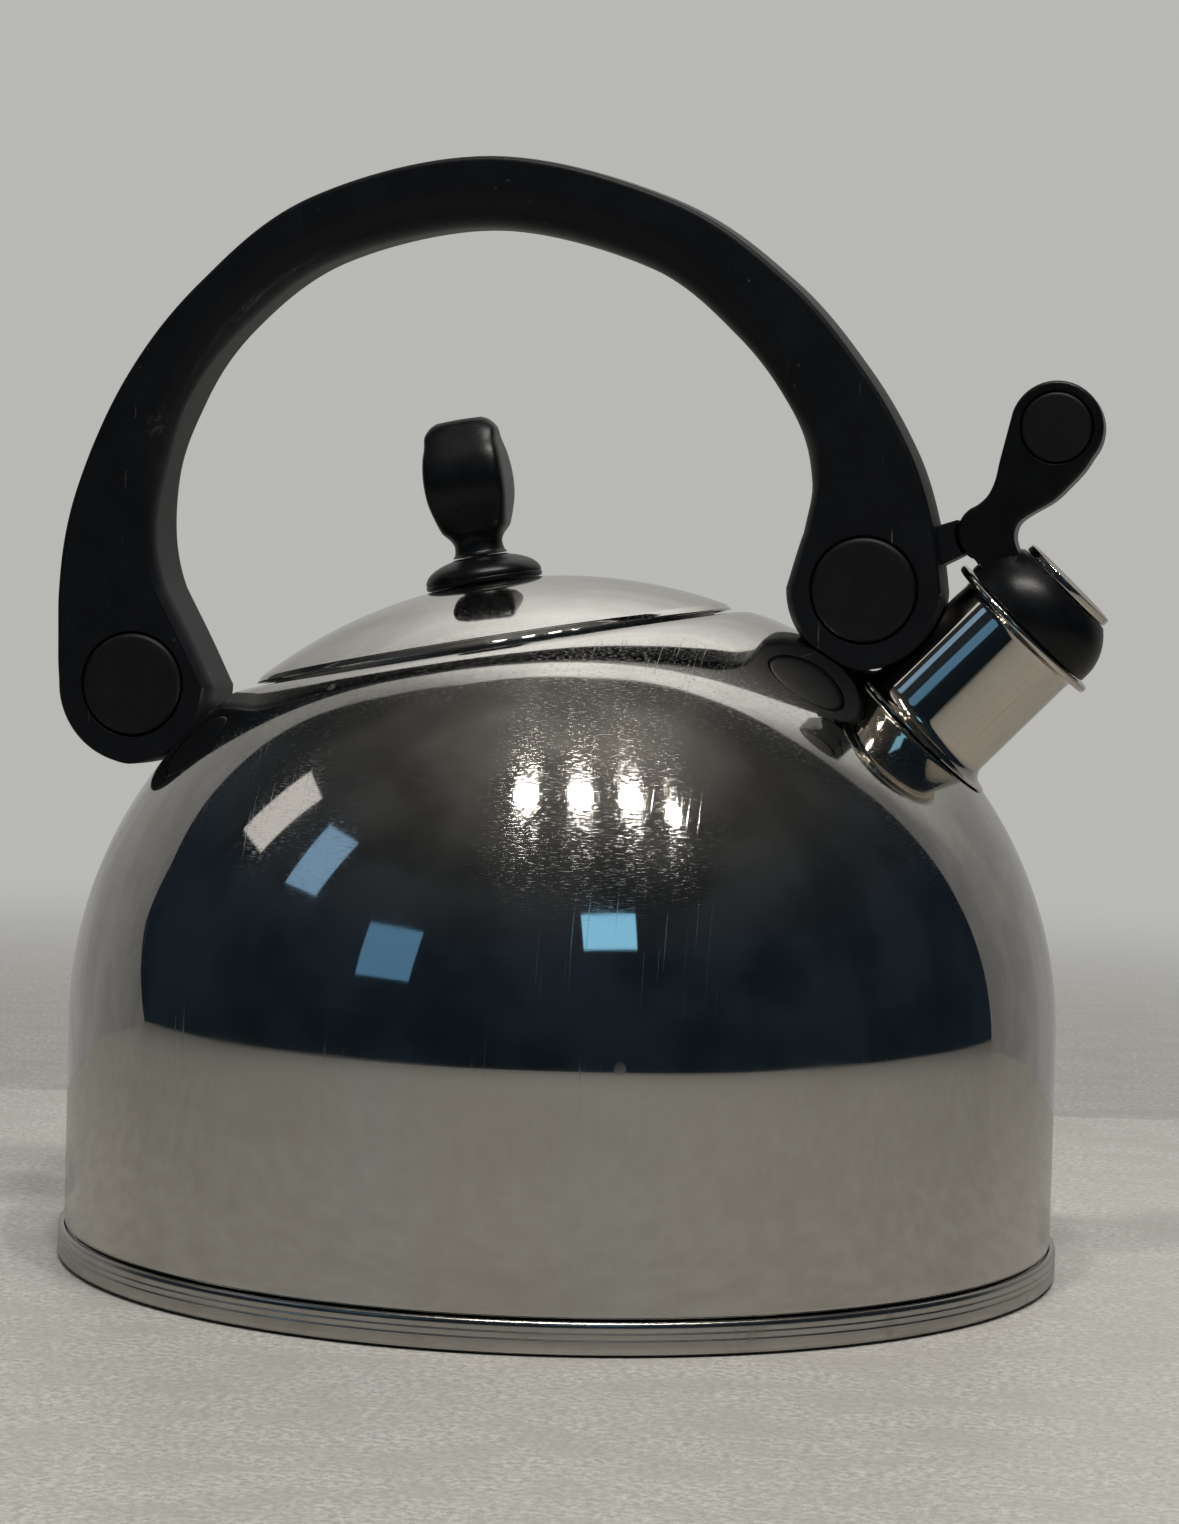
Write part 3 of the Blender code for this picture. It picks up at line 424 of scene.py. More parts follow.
def lofted(rings, loop=False):
    """Skins a run of equal rings of points; caps both ends, or joins the last to the first."""
    bm = bmesh.new()
    rows = [[bm.verts.new(point) for point in points] for points in rings]
    pairs = list(zip(rows, rows[1:])) + ([(rows[-1], rows[0])] if loop else [])
    for low, high in pairs:
        for i in range(len(low)):
            j = (i + 1) % len(low)
            bm.faces.new((low[i], low[j], high[j], high[i]))
    if not loop:
        bm.faces.new(reversed(rows[0]))
        bm.faces.new(rows[-1])
    return bm


def arc(centre, radius, start, end, steps):
    """Points (x, z) on an arc, both ends included; angles in degrees."""
    points = []
    for i in range(steps + 1):
        angle = math.radians(start + (end - start) * i / steps)
        points.append((centre[0] + radius * math.cos(angle), centre[1] + radius * math.sin(angle)))
    return points


def spline(values, position, loop=False):
    """Catmull-Rom interpolation of a row of number tuples; a loop joins its end to its start."""
    last = len(values) - 1
    if loop:
        i = int(position) % len(values)
        rows = [values[(i + k) % len(values)] for k in (-1, 0, 1, 2)]
        t = position - int(position)
    else:
        i = min(int(position), last - 1)
        rows = [values[min(max(i + k, 0), last)] for k in (-1, 0, 1, 2)]
        t = position - i
    return tuple(0.5 * (2 * b + (c - a) * t + (2 * a - 5 * b + 4 * c - d) * t ** 2
                        + (3 * b - a - 3 * c + d) * t ** 3)
                 for a, b, c, d in zip(*rows))


def smooth_step(value):
    value = min(max(value, 0.0), 1.0)
    return value * value * (3 - 2 * value)


def convex_outline(points):
    """The convex hull of (x, z) points, anticlockwise."""
    points = sorted(set(points))

    def half(run):
        chain = []
        for p in run:
            while len(chain) > 1:
                a, b = chain[-2], chain[-1]
                if (b[0] - a[0]) * (p[1] - a[1]) - (b[1] - a[1]) * (p[0] - a[0]) > 0:
                    break
                chain.pop()
            chain.append(p)
        return chain[:-1]

    return half(points) + half(points[::-1])


# ------------ body
DROP = WALL_TOP - DOME_HEIGHT
SHOULDER = (DOME_RADIUS ** 2 - WALL_RADIUS ** 2 - DROP ** 2) / (2 * (DOME_RADIUS - WALL_RADIUS))
SHOULDER_X = WALL_RADIUS - SHOULDER
SHOULDER_END = math.atan2(DROP, SHOULDER_X)
AROUND = 256
TO_LID = LID_FRAME.inverted()
RIM_CENTRE = LID_FRAME @ Vector((0.0, 0.0, RIM_LEVEL))
RING_LEAN = math.atan2(-RIM_CENTRE.x, RIM_CENTRE.z - DOME_HEIGHT)


def dome_point(direction, inset):
    """Where a ray from the dome's centre leaves the body's round top, moved in by inset."""
    flat = math.hypot(direction.x, direction.y)
    if math.atan2(direction.z, flat) >= SHOULDER_END:
        return direction * (DOME_RADIUS - inset)
    radius = SHOULDER - inset
    toward = flat * SHOULDER_X + direction.z * DROP
    reach = toward + math.sqrt(toward ** 2 - (SHOULDER_X ** 2 + DROP ** 2) + radius ** 2)
    return direction * reach


def rim_shaped(point, inset):
    """Swells the dome in front of the filler opening and flattens its rim to a tilted plane."""
    local = TO_LID @ point
    reach = math.hypot(local.x, local.y)
    facing = 0.5 + 0.5 * local.x / max(reach, MM)
    fade = 1 - smooth_step((reach - SWELL_START) / (SWELL_END - SWELL_START))
    local.z += FRONT_SWELL * facing * fade
    over = local.z - (RIM_LEVEL - inset)
    local.z -= 0.5 * (over + math.sqrt(over * over + RIM_BLEND ** 2))
    return LID_FRAME @ local


def dome_rings(inset, inner_reach, count):
    """Rings from the top of the wall up to a circle round the lid's axis."""
    start = math.atan2(WALL_RADIUS - inset, DROP)
    end = math.asin(inner_reach / DOME_RADIUS)
    rings = []
    for i in range(count + 1):
        t = i / count
        ease = 1 - (1 - t) ** 1.7
        polar = start + (end - start) * ease
        lean = RING_LEAN * smooth_step(ease * 1.02)
        turn = Matrix.Rotation(-lean, 3, "Y")
        ring = []
        for k in range(AROUND):
            around = 2 * math.pi * k / AROUND
            direction = turn @ Vector((math.sin(polar) * math.cos(around),
                                       math.sin(polar) * math.sin(around), math.cos(polar)))
            point = dome_point(direction, inset) + Vector((0, 0, DOME_HEIGHT))
            ring.append(rim_shaped(point, inset) if t > 0.15 else point)
        rings.append(ring)
    return rings


def circle(radius, height, at=None):
    """A level ring of points, as fine as the body's rings."""
    points = [Vector((radius * math.cos(2 * math.pi * k / AROUND),
                      radius * math.sin(2 * math.pi * k / AROUND), height)) for k in range(AROUND)]
    return [at @ point for point in points] if at else points


def make_body():
    """The drum and dome, the turned-in neck of the filler and the inside, one closed skin."""
    wall = offsets(WALL_RADIUS, SEAM_HEIGHT, ((-0.55, 0.0), (-0.2, 0.1), (-0.02, 0.4), (0.0, 0.9)))
    wall += [(WALL_RADIUS, SEAM_HEIGHT + 2 * MM + (WALL_TOP - SEAM_HEIGHT - 2 * MM) * i / 14)
             for i in range(14)]
    rings = [circle(radius, height) for radius, height in wall]
    rings += dome_rings(0.0, OPENING_RADIUS + 1.3 * MM, 100)
    neck = OPENING_RADIUS - 0.4 * MM
    for out, drop in ((0.95, 0.26), (0.55, 0.55), (0.22, 1.0), (0.05, 1.6), (0.0, 2.4), (0.0, 5.0),
                      (0.0, 7.5), (0.15, 7.9), (0.5, 8.0), (0.85, 7.9), (1.0, 7.5), (1.0, 5.0),
                      (1.0, 2.4)):
        rings.append(circle(neck + out * MM, RIM_LEVEL - drop * MM, LID_FRAME))
    rings += dome_rings(SHEET, OPENING_RADIUS + 1.6 * MM, 60)[::-1]
    rings += [circle(WALL_RADIUS - SHEET, height) for height in (40 * MM, 25 * MM, SEAM_HEIGHT)]
    spout_hole = cylinder(SPOUT_BORE, -40 * MM, 0.0, 96)
    add_piece("body_shell", lofted(rings, loop=True), STEEL, "kettle", None, 35, False,
              [(CUT, spout_hole, SPOUT_FRAME)])


def body_clearance():
    """A closed solid a gap larger than the body, for trimming what stands on the dome."""
    rings = [circle(WALL_RADIUS + GAP, 45 * MM)] + dome_rings(-GAP, 30 * MM, 60)
    return lofted(rings)


def make_base():
    """The base cap: two fine grooves round its rim."""
    edge = BASE_RADIUS
    rim = offsets(edge, 0.0, ((-3.0, 0.0), (-1.3, 0.05), (-0.6, 0.35), (-0.15, 0.9), (-0.02, 1.5),
                              (0.0, 2.2)))
    for level in (3.55 * MM, 4.95 * MM):
        rim += offsets(edge, level, ((0.0, -0.34), (-0.03, -0.24), (-0.14, -0.12), (-0.20, 0.0),
                                     (-0.14, 0.12), (-0.03, 0.24), (0.0, 0.34)))
    rim += offsets(edge, BASE_HEIGHT, ((0.0, -1.2), (-0.06, -0.7), (-0.25, -0.25), (-0.6, -0.03),
                                       (-0.95, 0.0)))
    inside = edge - 1.3 * MM
    rings = [(edge * share, 0.0) for share in (0.30, 0.305, 0.62, 0.625)]
    hollow = [(inside, BASE_HEIGHT), (inside, BASE_SHEET), (0.0, BASE_SHEET)]
    profile = [(0.0, 0.0)] + rings + rim + hollow
    add_piece("base_cap", turned(profile, 256, closed=False), BASE_STEEL, "kettle", sharp=60)


# ------------ lid and knob
def lid_height(radius, inset=0.0):
    """Height of the lid's dome above the dome centre's plane, in the lid's frame."""
    sphere = LID_SPHERE - inset
    return LID_LEVEL + LID_RISE - LID_SPHERE + math.sqrt(sphere ** 2 - radius ** 2)


def lid_run(reach, steps, inset=0.0):
    """(radius, height) points on the lid's dome from the screw's hole out to a radius."""
    radii = [SCREW_HOLE + (reach - SCREW_HOLE) * i / steps for i in range(steps + 1)]
    return [(radius, lid_height(radius, inset)) for radius in radii]


def make_lid():
    """The domed lid with its rolled edge, and the skirt under it."""
    edge = LID_RADIUS - 0.9 * MM
    profile = lid_run(edge, 60)
    profile += offsets(LID_RADIUS, LID_LEVEL, ((-0.5, 0.39), (-0.2, 0.18), (-0.04, -0.02), (0.0, -0.16),
                                               (-0.08, -0.3), (-0.25, -0.38), (-0.5, -0.4),
                                               (-0.85, -0.36), (-1.1, -0.25)))
    profile += lid_run(edge - 0.5 * MM, 40, SHEET)[::-1]
    add_piece("lid_shell", turned(profile, 256), STEEL, "lid", LID_FRAME, 50, False)

    bottom = LID_LEVEL - SKIRT_DEPTH
    top = lid_height(SKIRT_RADIUS, SHEET) - GAP
    skirt = [(SKIRT_RADIUS - SHEET, top), (SKIRT_RADIUS - SHEET, bottom + 1.6 * MM)]
    skirt += offsets(SKIRT_RADIUS, bottom, ((-1.0, 0.9), (-1.5, 0.45), (-1.75, 0.2), (-1.5, 0.02),
                                            (-1.0, 0.05), (-0.4, 0.5), (-0.05, 1.2), (0.0, 2.0)))
    skirt.append((SKIRT_RADIUS, top))
    add_piece("lid_skirt", turned(skirt, 192), INNER_STEEL, "lid", LID_FRAME, 60)


KNOB_POINTS = 96                   # in one ring of the knob
KNOB_STEPS = 7                     # rings between two rows of KNOB_SHAPE


def squircle(half_x, half_y, power, height):
    """A ring of points on a rounded rectangle at a height."""
    points = []
    for i in range(KNOB_POINTS):
        angle = 2 * math.pi * i / KNOB_POINTS
        c, s = math.cos(angle), math.sin(angle)
        reach = (abs(c) ** power + abs(s) ** power) ** (-1 / power)
        points.append(Vector((half_x * reach * c, half_y * reach * s, height)))
    return points


# (height above the lid's edge, half width, half depth, squareness) up the knob's grip, in mm
KNOB_SHAPE = ((20.5, 6.2, 6.2, 2.0), (21.3, 5.6, 5.6, 2.0), (23.1, 5.4, 5.3, 2.0),
              (24.5, 6.0, 5.4, 2.3), (25.7, 6.9, 5.9, 3.2), (26.7, 7.5, 6.2, 4.0),
              (29.9, 8.3, 7.3, 6.0), (33.0, 8.9, 8.3, 7.0), (36.3, 9.15, 8.8, 7.0),
              (39.6, 9.1, 8.5, 7.0), (42.9, 8.8, 7.3, 7.0), (45.9, 8.3, 5.4, 6.0),
              (48.3, 8.15, 3.9, 4.5), (50.1, 6.9, 2.6, 3.0), (51.0, 5.3, 1.4, 2.5))


def make_knob():
    """The grip with its screw bore, and the round collar it stands on."""
    rings = []
    for i in range((len(KNOB_SHAPE) - 1) * KNOB_STEPS + 1):
        height, half_x, half_y, power = spline(KNOB_SHAPE, i / KNOB_STEPS)
        rings.append(squircle(half_x * MM, half_y * MM, power, LID_LEVEL + height * MM))
    rings.append(squircle(2.2 * MM, 0.7 * MM, 2.2, LID_LEVEL + 51.15 * MM))
    bore = cylinder(SCREW_HOLE, LID_LEVEL + 10 * MM, LID_LEVEL + 37 * MM, 32)
    add_piece("lid_knob", lofted(rings), BLACK_KNOB, "lid", LID_FRAME, 40,
              steps=[(CUT, bore, LID_FRAME)])

    rim = COLLAR_RADIUS
    seat = lid_height(rim) + GAP
    top = LID_LEVEL + 20.1 * MM
    collar = [(SCREW_HOLE, lid_height(SCREW_HOLE) + GAP), (0.5 * rim, lid_height(0.5 * rim) + GAP)]
    collar += offsets(rim, seat, ((-0.5, 0.02), (-0.12, 0.18), (0.0, 0.5), (0.0, 0.95), (-0.12, 1.12),
                                  (-0.32, 1.2), (-0.12, 1.3), (-0.04, 1.6), (-0.22, 2.2), (-0.7, 3.0),
                                  (-1.5, 3.75), (-2.6, 4.45), (-3.8, 5.0), (-5.2, 5.5)))
    collar += [(6.6 * MM, top - 0.28 * MM), (6.2 * MM, top - 0.05 * MM), (5.9 * MM, top), (SCREW_HOLE, top)]
    add_piece("knob_collar", turned(collar, 128), BLACK_KNOB, "lid", LID_FRAME, 40)


# ------------ handle
# (x, z, half thickness, underside rounding) in millimetres along the arch's middle line
ARCH = ((REAR_FOOT[0] / MM, REAR_FOOT[1] / MM, 18.0, 1.8), (-104.5, 145.5, 12.7, 1.8),
        (-104.1, 166.0, 9.7, 2.2), (-95.8, 190.6, 7.5, 5.0), (-80.9, 211.0, 6.8, 7.5),
        (-57.1, 228.7, 7.4, 8.5), (-19.4, 237.0, 7.9, 9.0), (18.5, 228.3, 8.0, 8.5),
        (41.9, 212.1, 8.7, 7.0), (56.9, 194.1, 9.5, 4.5), (64.6, 177.6, 11.8, 2.2),
        (66.6, 164.0, 14.7, 1.8), (FRONT_FOOT[0] / MM, FRONT_FOOT[1] / MM, 17.4, 1.8))
ARCH_STEPS = 14                    # rings between two rows of ARCH
FOOT_STEPS = 22
OUTER_ROUND = 1.2 * MM
CROWN = 0.7 * MM


def arch_section(centre, along, half, rounding):
    """A ring across the arch: crowned outside, flat flanks, and an underside that is round at the
    top of the arch and only rolls over at its edges on the legs."""
    outward = Vector((-along.z, 0.0, along.x))
    depth = HALF_DEPTH
    crown = min(CROWN, 0.15 * half)
    edge = min(OUTER_ROUND, 0.3 * half)
    under = min(rounding, 0.8 * (2 * half - crown - edge))
    out = half - crown - edge
    flank = []
    for i in range(8):
        turn = i / 7 * math.pi / 2
        flank.append((out + edge * math.cos(turn), depth - edge + edge * math.sin(turn)))
    span = out - (under - half)
    flank += [(out - span * share, depth) for share in (0.08, 0.5, 0.92)]
    soft = smooth_step((rounding - 2.8 * MM) / (2.5 * MM))
    roll = math.pi / 4
    for i in range(11):
        share = 1 - i / 10
        turn = share * roll
        rolled = (under * (1 - math.cos(turn)) / (1 - math.cos(roll)),
                  under * (math.sin(roll) - math.sin(turn)) / (1 - math.cos(roll)))
        turn = share * math.pi / 2
        quarter = (under * (1 - math.cos(turn)), under * (1 - math.sin(turn)))
        inward, sideways = (soft * q + (1 - soft) * r for q, r in zip(quarter, rolled))
        flank.append((inward - half, depth - sideways))
    right = [(half - crown * share ** 2, share * (depth - edge)) for share in (0.0, 0.3, 0.6, 0.85)]
    right += flank
    left = [(out, -side) for out, side in reversed(right[1:])]
    return [centre + outward * out + Vector((0.0, side, 0.0))
            for out, side in right + [(-half, 0.0)] + left]


def arch_direction(place):
    """The middle line's direction; it comes upright at both feet, so their round ends meet it."""
    last = len(ARCH) - 1
    before = spline(ARCH, max(place - 0.05, 0.0))
    after = spline(ARCH, min(place + 0.05, last))
    along = Vector((after[0] - before[0], 0.0, after[1] - before[1])).normalized()
    from_end = min(place, last - place)
    if from_end < 1:
        upright = Vector((0.0, 0.0, 1.0 if place < 1 else -1.0))
        along = upright.lerp(along, smooth_step(from_end)).normalized()
    return along


def make_arch():
    """The arch and the round ends of both feet, skinned from one run of sections."""
    rings = []
    last = len(ARCH) - 1
    for i in range(last * ARCH_STEPS + 1):
        place = i / ARCH_STEPS
        x, z, half, rounding = (value * MM for value in spline(ARCH, place))
        rings.append((Vector((x, 0.0, z)), arch_direction(place), half, rounding))
    ends = []
    for centre, along, radius, rounding, side in ((*rings[0], -1), (*rings[-1], 1)):
        run = []
        for i in range(1, FOOT_STEPS + 1):
            turn = math.radians(87.5) * i / FOOT_STEPS
            run.append((centre + along * side * radius * math.sin(turn), along,
                        radius * math.cos(turn), rounding))
        ends.append(run)
    rows = ends[0][::-1] + rings + ends[1]
    return lofted([arch_section(*row) for row in rows])


def foot_frame(foot):
    """Frame on a foot's centre whose +Z points away from the dome."""
    side = math.copysign(1.0, foot[0])
    lean = math.atan2(foot[0] - side * SHOULDER_X, foot[1] - WALL_TOP)
    return Matrix.Translation((foot[0], 0.0, foot[1])) @ Matrix.Rotation(lean, 4, "Y")


def bracket_slot():
    """The slot for the tab on the dome: an upside-down T, a gap larger than the tab."""
    grow = 0.35 * MM
    pad, tab, width = 5.0 * MM + grow, 1.0 * MM + grow, 5.0 * MM + grow
    low, step, top = -22.0 * MM, -14.6 * MM + grow, 6.5 * MM + grow
    bm = slab([(-pad, low), (pad, low), (pad, step), (tab, step), (tab, top), (-tab, top),
               (-tab, step), (-pad, step)], -width, width)
    bmesh.ops.rotate(bm, verts=bm.verts, cent=(0, 0, 0), matrix=Matrix.Rotation(math.pi / 2, 3, "Z"))
    return bm


def mirrored_bore(half, segments):
    """A cutter for a bore that is the same on both sides, from the profile of one side."""
    other = [(radius, -height) for radius, height in reversed(half[1:])]
    return turned(other + half[1:], segments, closed=False)


def bolt_hole():
    """A cross hole with a well for the screw head and a chamfered seat for the round cap."""
    recess = CAP_RADIUS + GAP
    return mirrored_bore([(SCREW_HOLE, 0.0), (SCREW_HOLE, HEAD_SEAT), (4.3 * MM, HEAD_SEAT),
                          (4.3 * MM, CAP_SEAT), (recess, CAP_SEAT), (recess, HALF_DEPTH - 0.35 * MM),
                          (recess + 0.35 * MM, HALF_DEPTH + 0.02 * MM), (recess + 0.35 * MM, 14 * MM),
                          (0.0, 14 * MM)], 96)


def spout_outline(grow=0.0):
    """The spout's outside, (radius, height) from its mouth flange down to its flared foot."""
    lip = MOUTH + 0.8 * MM
    rim = MOUTH_RIM + grow
    tube = SPOUT_RADIUS + grow
    foot = FOOT_RIM + grow
    points = offsets(rim, lip + grow, ((-0.9, 0.0), (-0.3, -0.03), (-0.05, -0.25)))
    points.append((rim, lip - 0.7 * MM))
    points += offsets(rim, lip - grow, ((-0.05, -1.2), (-0.35, -1.45), (-1.0, -1.5)))
    points += offsets(tube, lip - grow, ((1.4, -1.52), (0.7, -1.68), (0.25, -2.0), (0.05, -2.5),
                                         (0.0, -3.2)))
    points += offsets(tube, FOOT_FLANGE + grow, ((0.0, 12.0), (0.0, 4.8)))
    for degrees in range(0, 88, 8):
        turn = math.radians(degrees)
        points.append((tube + FOOT_FLARE * (1 - math.cos(turn)),
                       FOOT_FLANGE + 4.2 * MM - 3.2 * MM * math.sin(turn) + grow))
    points += offsets(foot, FOOT_FLANGE + grow, ((-0.12, 0.92), (0.0, 0.6)))
    if grow:
        return points + [(foot, FOOT_FLANGE - 8 * MM)]
    return points + offsets(foot, FOOT_FLANGE, ((-0.02, 0.25), (-0.2, 0.05)))


def spout_clearance():
    """A closed solid a little larger than the spout, for the notch in the front foot."""
    outside = spout_outline(0.4 * MM)
    return turned([(0.0, outside[0][1])] + outside + [(0.0, outside[-1][1])], 96, closed=False)


def make_handle():
    """The arch with the whistle's hinge lug, notched for the body, the spout and the fittings."""
    hollow = arc(PIVOT, KNUCKLE_RADIUS + 0.55 * MM, 224, 157, 24)
    block = [(73 * MM, 163 * MM), (73 * MM, 155.5 * MM), (80.5 * MM, 156.2 * MM)] + hollow
    tongue = arc(PIVOT, TONGUE_RADIUS, -75, 105, 32) + [(74 * MM, 162.8 * MM), (74 * MM, 157.2 * MM)]
    pocket = mirrored_bore([(SPRING_POCKET, 0.0), (SPRING_POCKET, SPRING_HALF),
                            (PIN_BORE, SPRING_HALF), (PIN_BORE, 5 * MM), (0.0, 5 * MM)], 48)
    steps = [(JOIN, bevelled(slab(block, -LEVER_HALF, LEVER_HALF), 0.5 * MM, 3), None),
             (JOIN, bevelled(slab(tongue, -TONGUE_HALF, TONGUE_HALF), 0.3 * MM, 2), None),
             (CUT, body_clearance(), None),
             (CUT, spout_clearance(), SPOUT_FRAME)]
    for foot in (REAR_FOOT, FRONT_FOOT):
        steps += [(CUT, bracket_slot(), foot_frame(foot)),
                  (CUT, bolt_hole(), side_frame(foot, 1))]
    steps.append((CUT, pocket, side_frame(PIVOT, 1)))
    add_piece("handle_grip", make_arch(), BLACK, "kettle", sharp=34, steps=steps)


def face_cap(radius, seat, face, ease):
    """A round cover: rolled rim and a barely domed face."""
    profile = [(0.0, seat), (radius - 0.2 * MM, seat), (radius, seat + 0.2 * MM)]
    profile += [(radius - inward * ease, face - down * ease)
                for inward, down in ((0.0, 1.0), (0.12, 0.6), (0.4, 0.25), (0.85, 0.06), (1.4, 0.02))]
    start, level = profile[-1]
    for i in range(7, -1, -1):
        profile.append((start * i / 8, level + 0.12 * MM * (1 - (i / 8) ** 2)))
    return turned(profile, 128, closed=False)


def make_caps():
    foot = (CAP_RADIUS, CAP_SEAT + GAP, HALF_DEPTH + 0.58 * MM, 1.0 * MM)
    thumb = (THUMB_CAP_RADIUS, THUMB_CAP_SEAT + GAP, LEVER_HALF + 0.28 * MM, 0.7 * MM)
    for name, centre, sizes, body in (("rear", REAR_FOOT, foot, "kettle"),
                                      ("front", FRONT_FOOT, foot, "kettle"),
                                      ("thumb", THUMB_POINT, thumb, "whistle")):
        for word, side in (("near", -1), ("far", 1)):
            add_piece(f"{name}_{word}_cap", face_cap(*sizes), BLACK_CAP, body,
                      side_frame(centre, side), 40)


# ------------ spout and whistle
def make_spout():
    outside = spout_outline()
    top = outside[0][1]
    profile = [(SPOUT_BORE, top - 0.5 * MM), (SPOUT_BORE + 0.12 * MM, top - 0.2 * MM),
               (SPOUT_BORE + 0.45 * MM, top - 0.02 * MM), (SPOUT_BORE + 1.2 * MM, top)] + outside
    profile += [(SPOUT_BORE + 0.2 * MM, FOOT_FLANGE - 0.7 * MM), (SPOUT_BORE, FOOT_FLANGE - 0.7 * MM),
                (SPOUT_BORE, 0.0)]
    add_piece("spout_tube", turned(profile, 192), STEEL_SMALL, "kettle", SPOUT_FRAME,
              45, False, [(CUT, body_clearance(), None)])


def lever_outline():
    """The lever's side view: round thumb pad, waist, knuckle and the web onto the housing."""
    pad = [(x / MM, z / MM) for x, z in arc(THUMB_CENTRE, THUMB_RADIUS, -38, 172, 18)]
    waist = [(2.9, 18.6), (2.2, 15.5), (1.4, 11.5), (0.2, 8.6), (-1.1, 7.0)]
    knuckle = [(x / MM, z / MM) for x, z in arc((0.0, 0.0), KNUCKLE_RADIUS, 113, 248, 15)]
    web = [(-0.6, -8.4), (1.6, -10.6), (4.5, -12.0), (7.2, -9.6), (8.6, -6.4)]
    front = [(7.2, -4.2), (6.2, -2.0), (6.0, 0.2), (7.0, 2.6), (10.0, 4.8), (14.2, 7.4), (17.6, 10.8),
             (20.4, 14.0)]
    control = pad + waist + knuckle + web + front
    smooth = [spline(control, i / 4, loop=True) for i in range(len(control) * 4)]
    return [(PIVOT[0] + x * MM, PIVOT[1] + z * MM) for x, z in smooth]


def housing_profile():
    """The whistle's round housing, open at the far end."""
    return offsets(0.0, HOUSING_BASE, (
        (14.4, 0.0), (16.5, 0.0), (16.85, 0.12), (17.0, 0.45), (17.0, 1.6), (16.98, 2.6), (16.85, 3.8),
        (16.55, 5.0), (16.1, 6.3), (15.5, 7.5), (14.8, 8.6), (14.0, 9.6), (13.2, 10.45), (12.6, 11.0),
        (12.25, 11.3), (12.0, 11.4), (11.6, 11.4), (11.6, 1.3), (14.4, 1.3)))


def make_lever():
    """The lever with the whistle's housing, its fork, its pin's bore and the seats of its caps."""
    fork = list(arc(PIVOT, TONGUE_RADIUS + 0.5 * MM, 0, 350, 70))
    for turn in range(0, 50, 3):
        angle = math.radians(196 - turn)
        far = (PIVOT[0] + 16 * MM * math.cos(angle), PIVOT[1] + 16 * MM * math.sin(angle))
        fork += arc(far, TONGUE_RADIUS + 0.7 * MM, 0, 340, 17)
    seat = THUMB_CAP_RADIUS + GAP
    cap_seat = [(0.0, THUMB_CAP_SEAT), (seat, THUMB_CAP_SEAT), (seat, LEVER_HALF - 0.3 * MM),
                (seat + 0.3 * MM, LEVER_HALF + 0.02 * MM), (seat + 0.3 * MM, 10 * MM), (0.0, 10 * MM)]
    chamber = cylinder(CHAMBER_RADIUS, MOUTH - 2 * MM, MOUTH + 12.2 * MM, 96)
    steps = [(CUT, chamber, SPOUT_FRAME),
             (JOIN, turned(housing_profile(), 128), SPOUT_FRAME),
             (CUT, slab(convex_outline(fork), -FORK_HALF, FORK_HALF), None),
             (CUT, cylinder(PIN_BORE, -6.4 * MM, 9 * MM, 32), side_frame(PIVOT, 1))]
    for side in (-1, 1):
        steps.append((CUT, turned(cap_seat, 96, closed=False), side_frame(THUMB_POINT, side)))
    plate = bevelled(slab(lever_outline(), -LEVER_HALF, LEVER_HALF), 1.3 * MM, 5)
    add_piece("whistle_lever", plate, BLACK_KNOB, "whistle", sharp=34, steps=steps)


def make_whistle():
    """The bright outer plate with its dished face, and the plain inner plate."""
    low, high = HOUSING_BASE + 11.7 * MM, HOUSING_BASE + 13.5 * MM
    outer = [(SOUND_HOLE, low + 0.1 * MM), (SOUND_HOLE + 0.1 * MM, low)]
    outer += offsets(0.0, low, ((11.2, 0.0), (11.6, 0.1), (11.78, 0.35), (11.8, 0.6)))
    outer += offsets(0.0, high, ((11.75, -0.3), (11.55, -0.08), (11.2, 0.0), (10.4, -0.05), (9.6, -0.3),
                                 (8.9, -0.42), (8.0, -0.42), (4.4, -0.42), (3.6, -0.36), (3.1, -0.15),
                                 (2.8, -0.1)))
    outer.append((SOUND_HOLE, high - 0.25 * MM))
    add_piece("whistle_outer_plate", turned(outer, 128), STEEL_SMALL, "whistle",
              SPOUT_FRAME, 40)
    inner = [(SOUND_HOLE, HOUSING_BASE + 0.1 * MM)]
    inner += offsets(0.0, HOUSING_BASE, ((13.9, 0.1), (14.1, 0.3), (14.1, 0.9)))
    inner.append((SOUND_HOLE, HOUSING_BASE + 0.9 * MM))
    add_piece("whistle_inner_plate", turned(inner, 128), INNER_STEEL, "whistle",
              SPOUT_FRAME, 40)


def make_spring():
    """The return spring: a coil round the pin with a short straight leg at each end."""
    coil, wire, turns, pitch, reach = 2.1 * MM, 0.35 * MM, 3.5, 0.8 * MM, 1.9 * MM
    per_turn, sides = 36, 12
    last = int(turns * per_turn)
    rings = []
    for i in range(-1, last + 2):
        step = min(max(i, 0), last)
        angle = 2 * math.pi * step / per_turn
        radial = Vector((math.cos(angle), math.sin(angle), 0.0))
        along = Vector((-math.sin(angle), math.cos(angle), 0.06)).normalized()
        centre = radial * coil + Vector((0.0, 0.0, pitch * (step / per_turn - turns / 2)))
        centre += along * reach * (i - step)
        across = along.cross(radial)
        rings.append([centre + wire * (radial * math.cos(2 * math.pi * k / sides)
                                       + across * math.sin(2 * math.pi * k / sides))
                      for k in range(sides)])
    add_piece("return_spring", lofted(rings), SPRING, "whistle", side_frame(PIVOT, 1), 40)


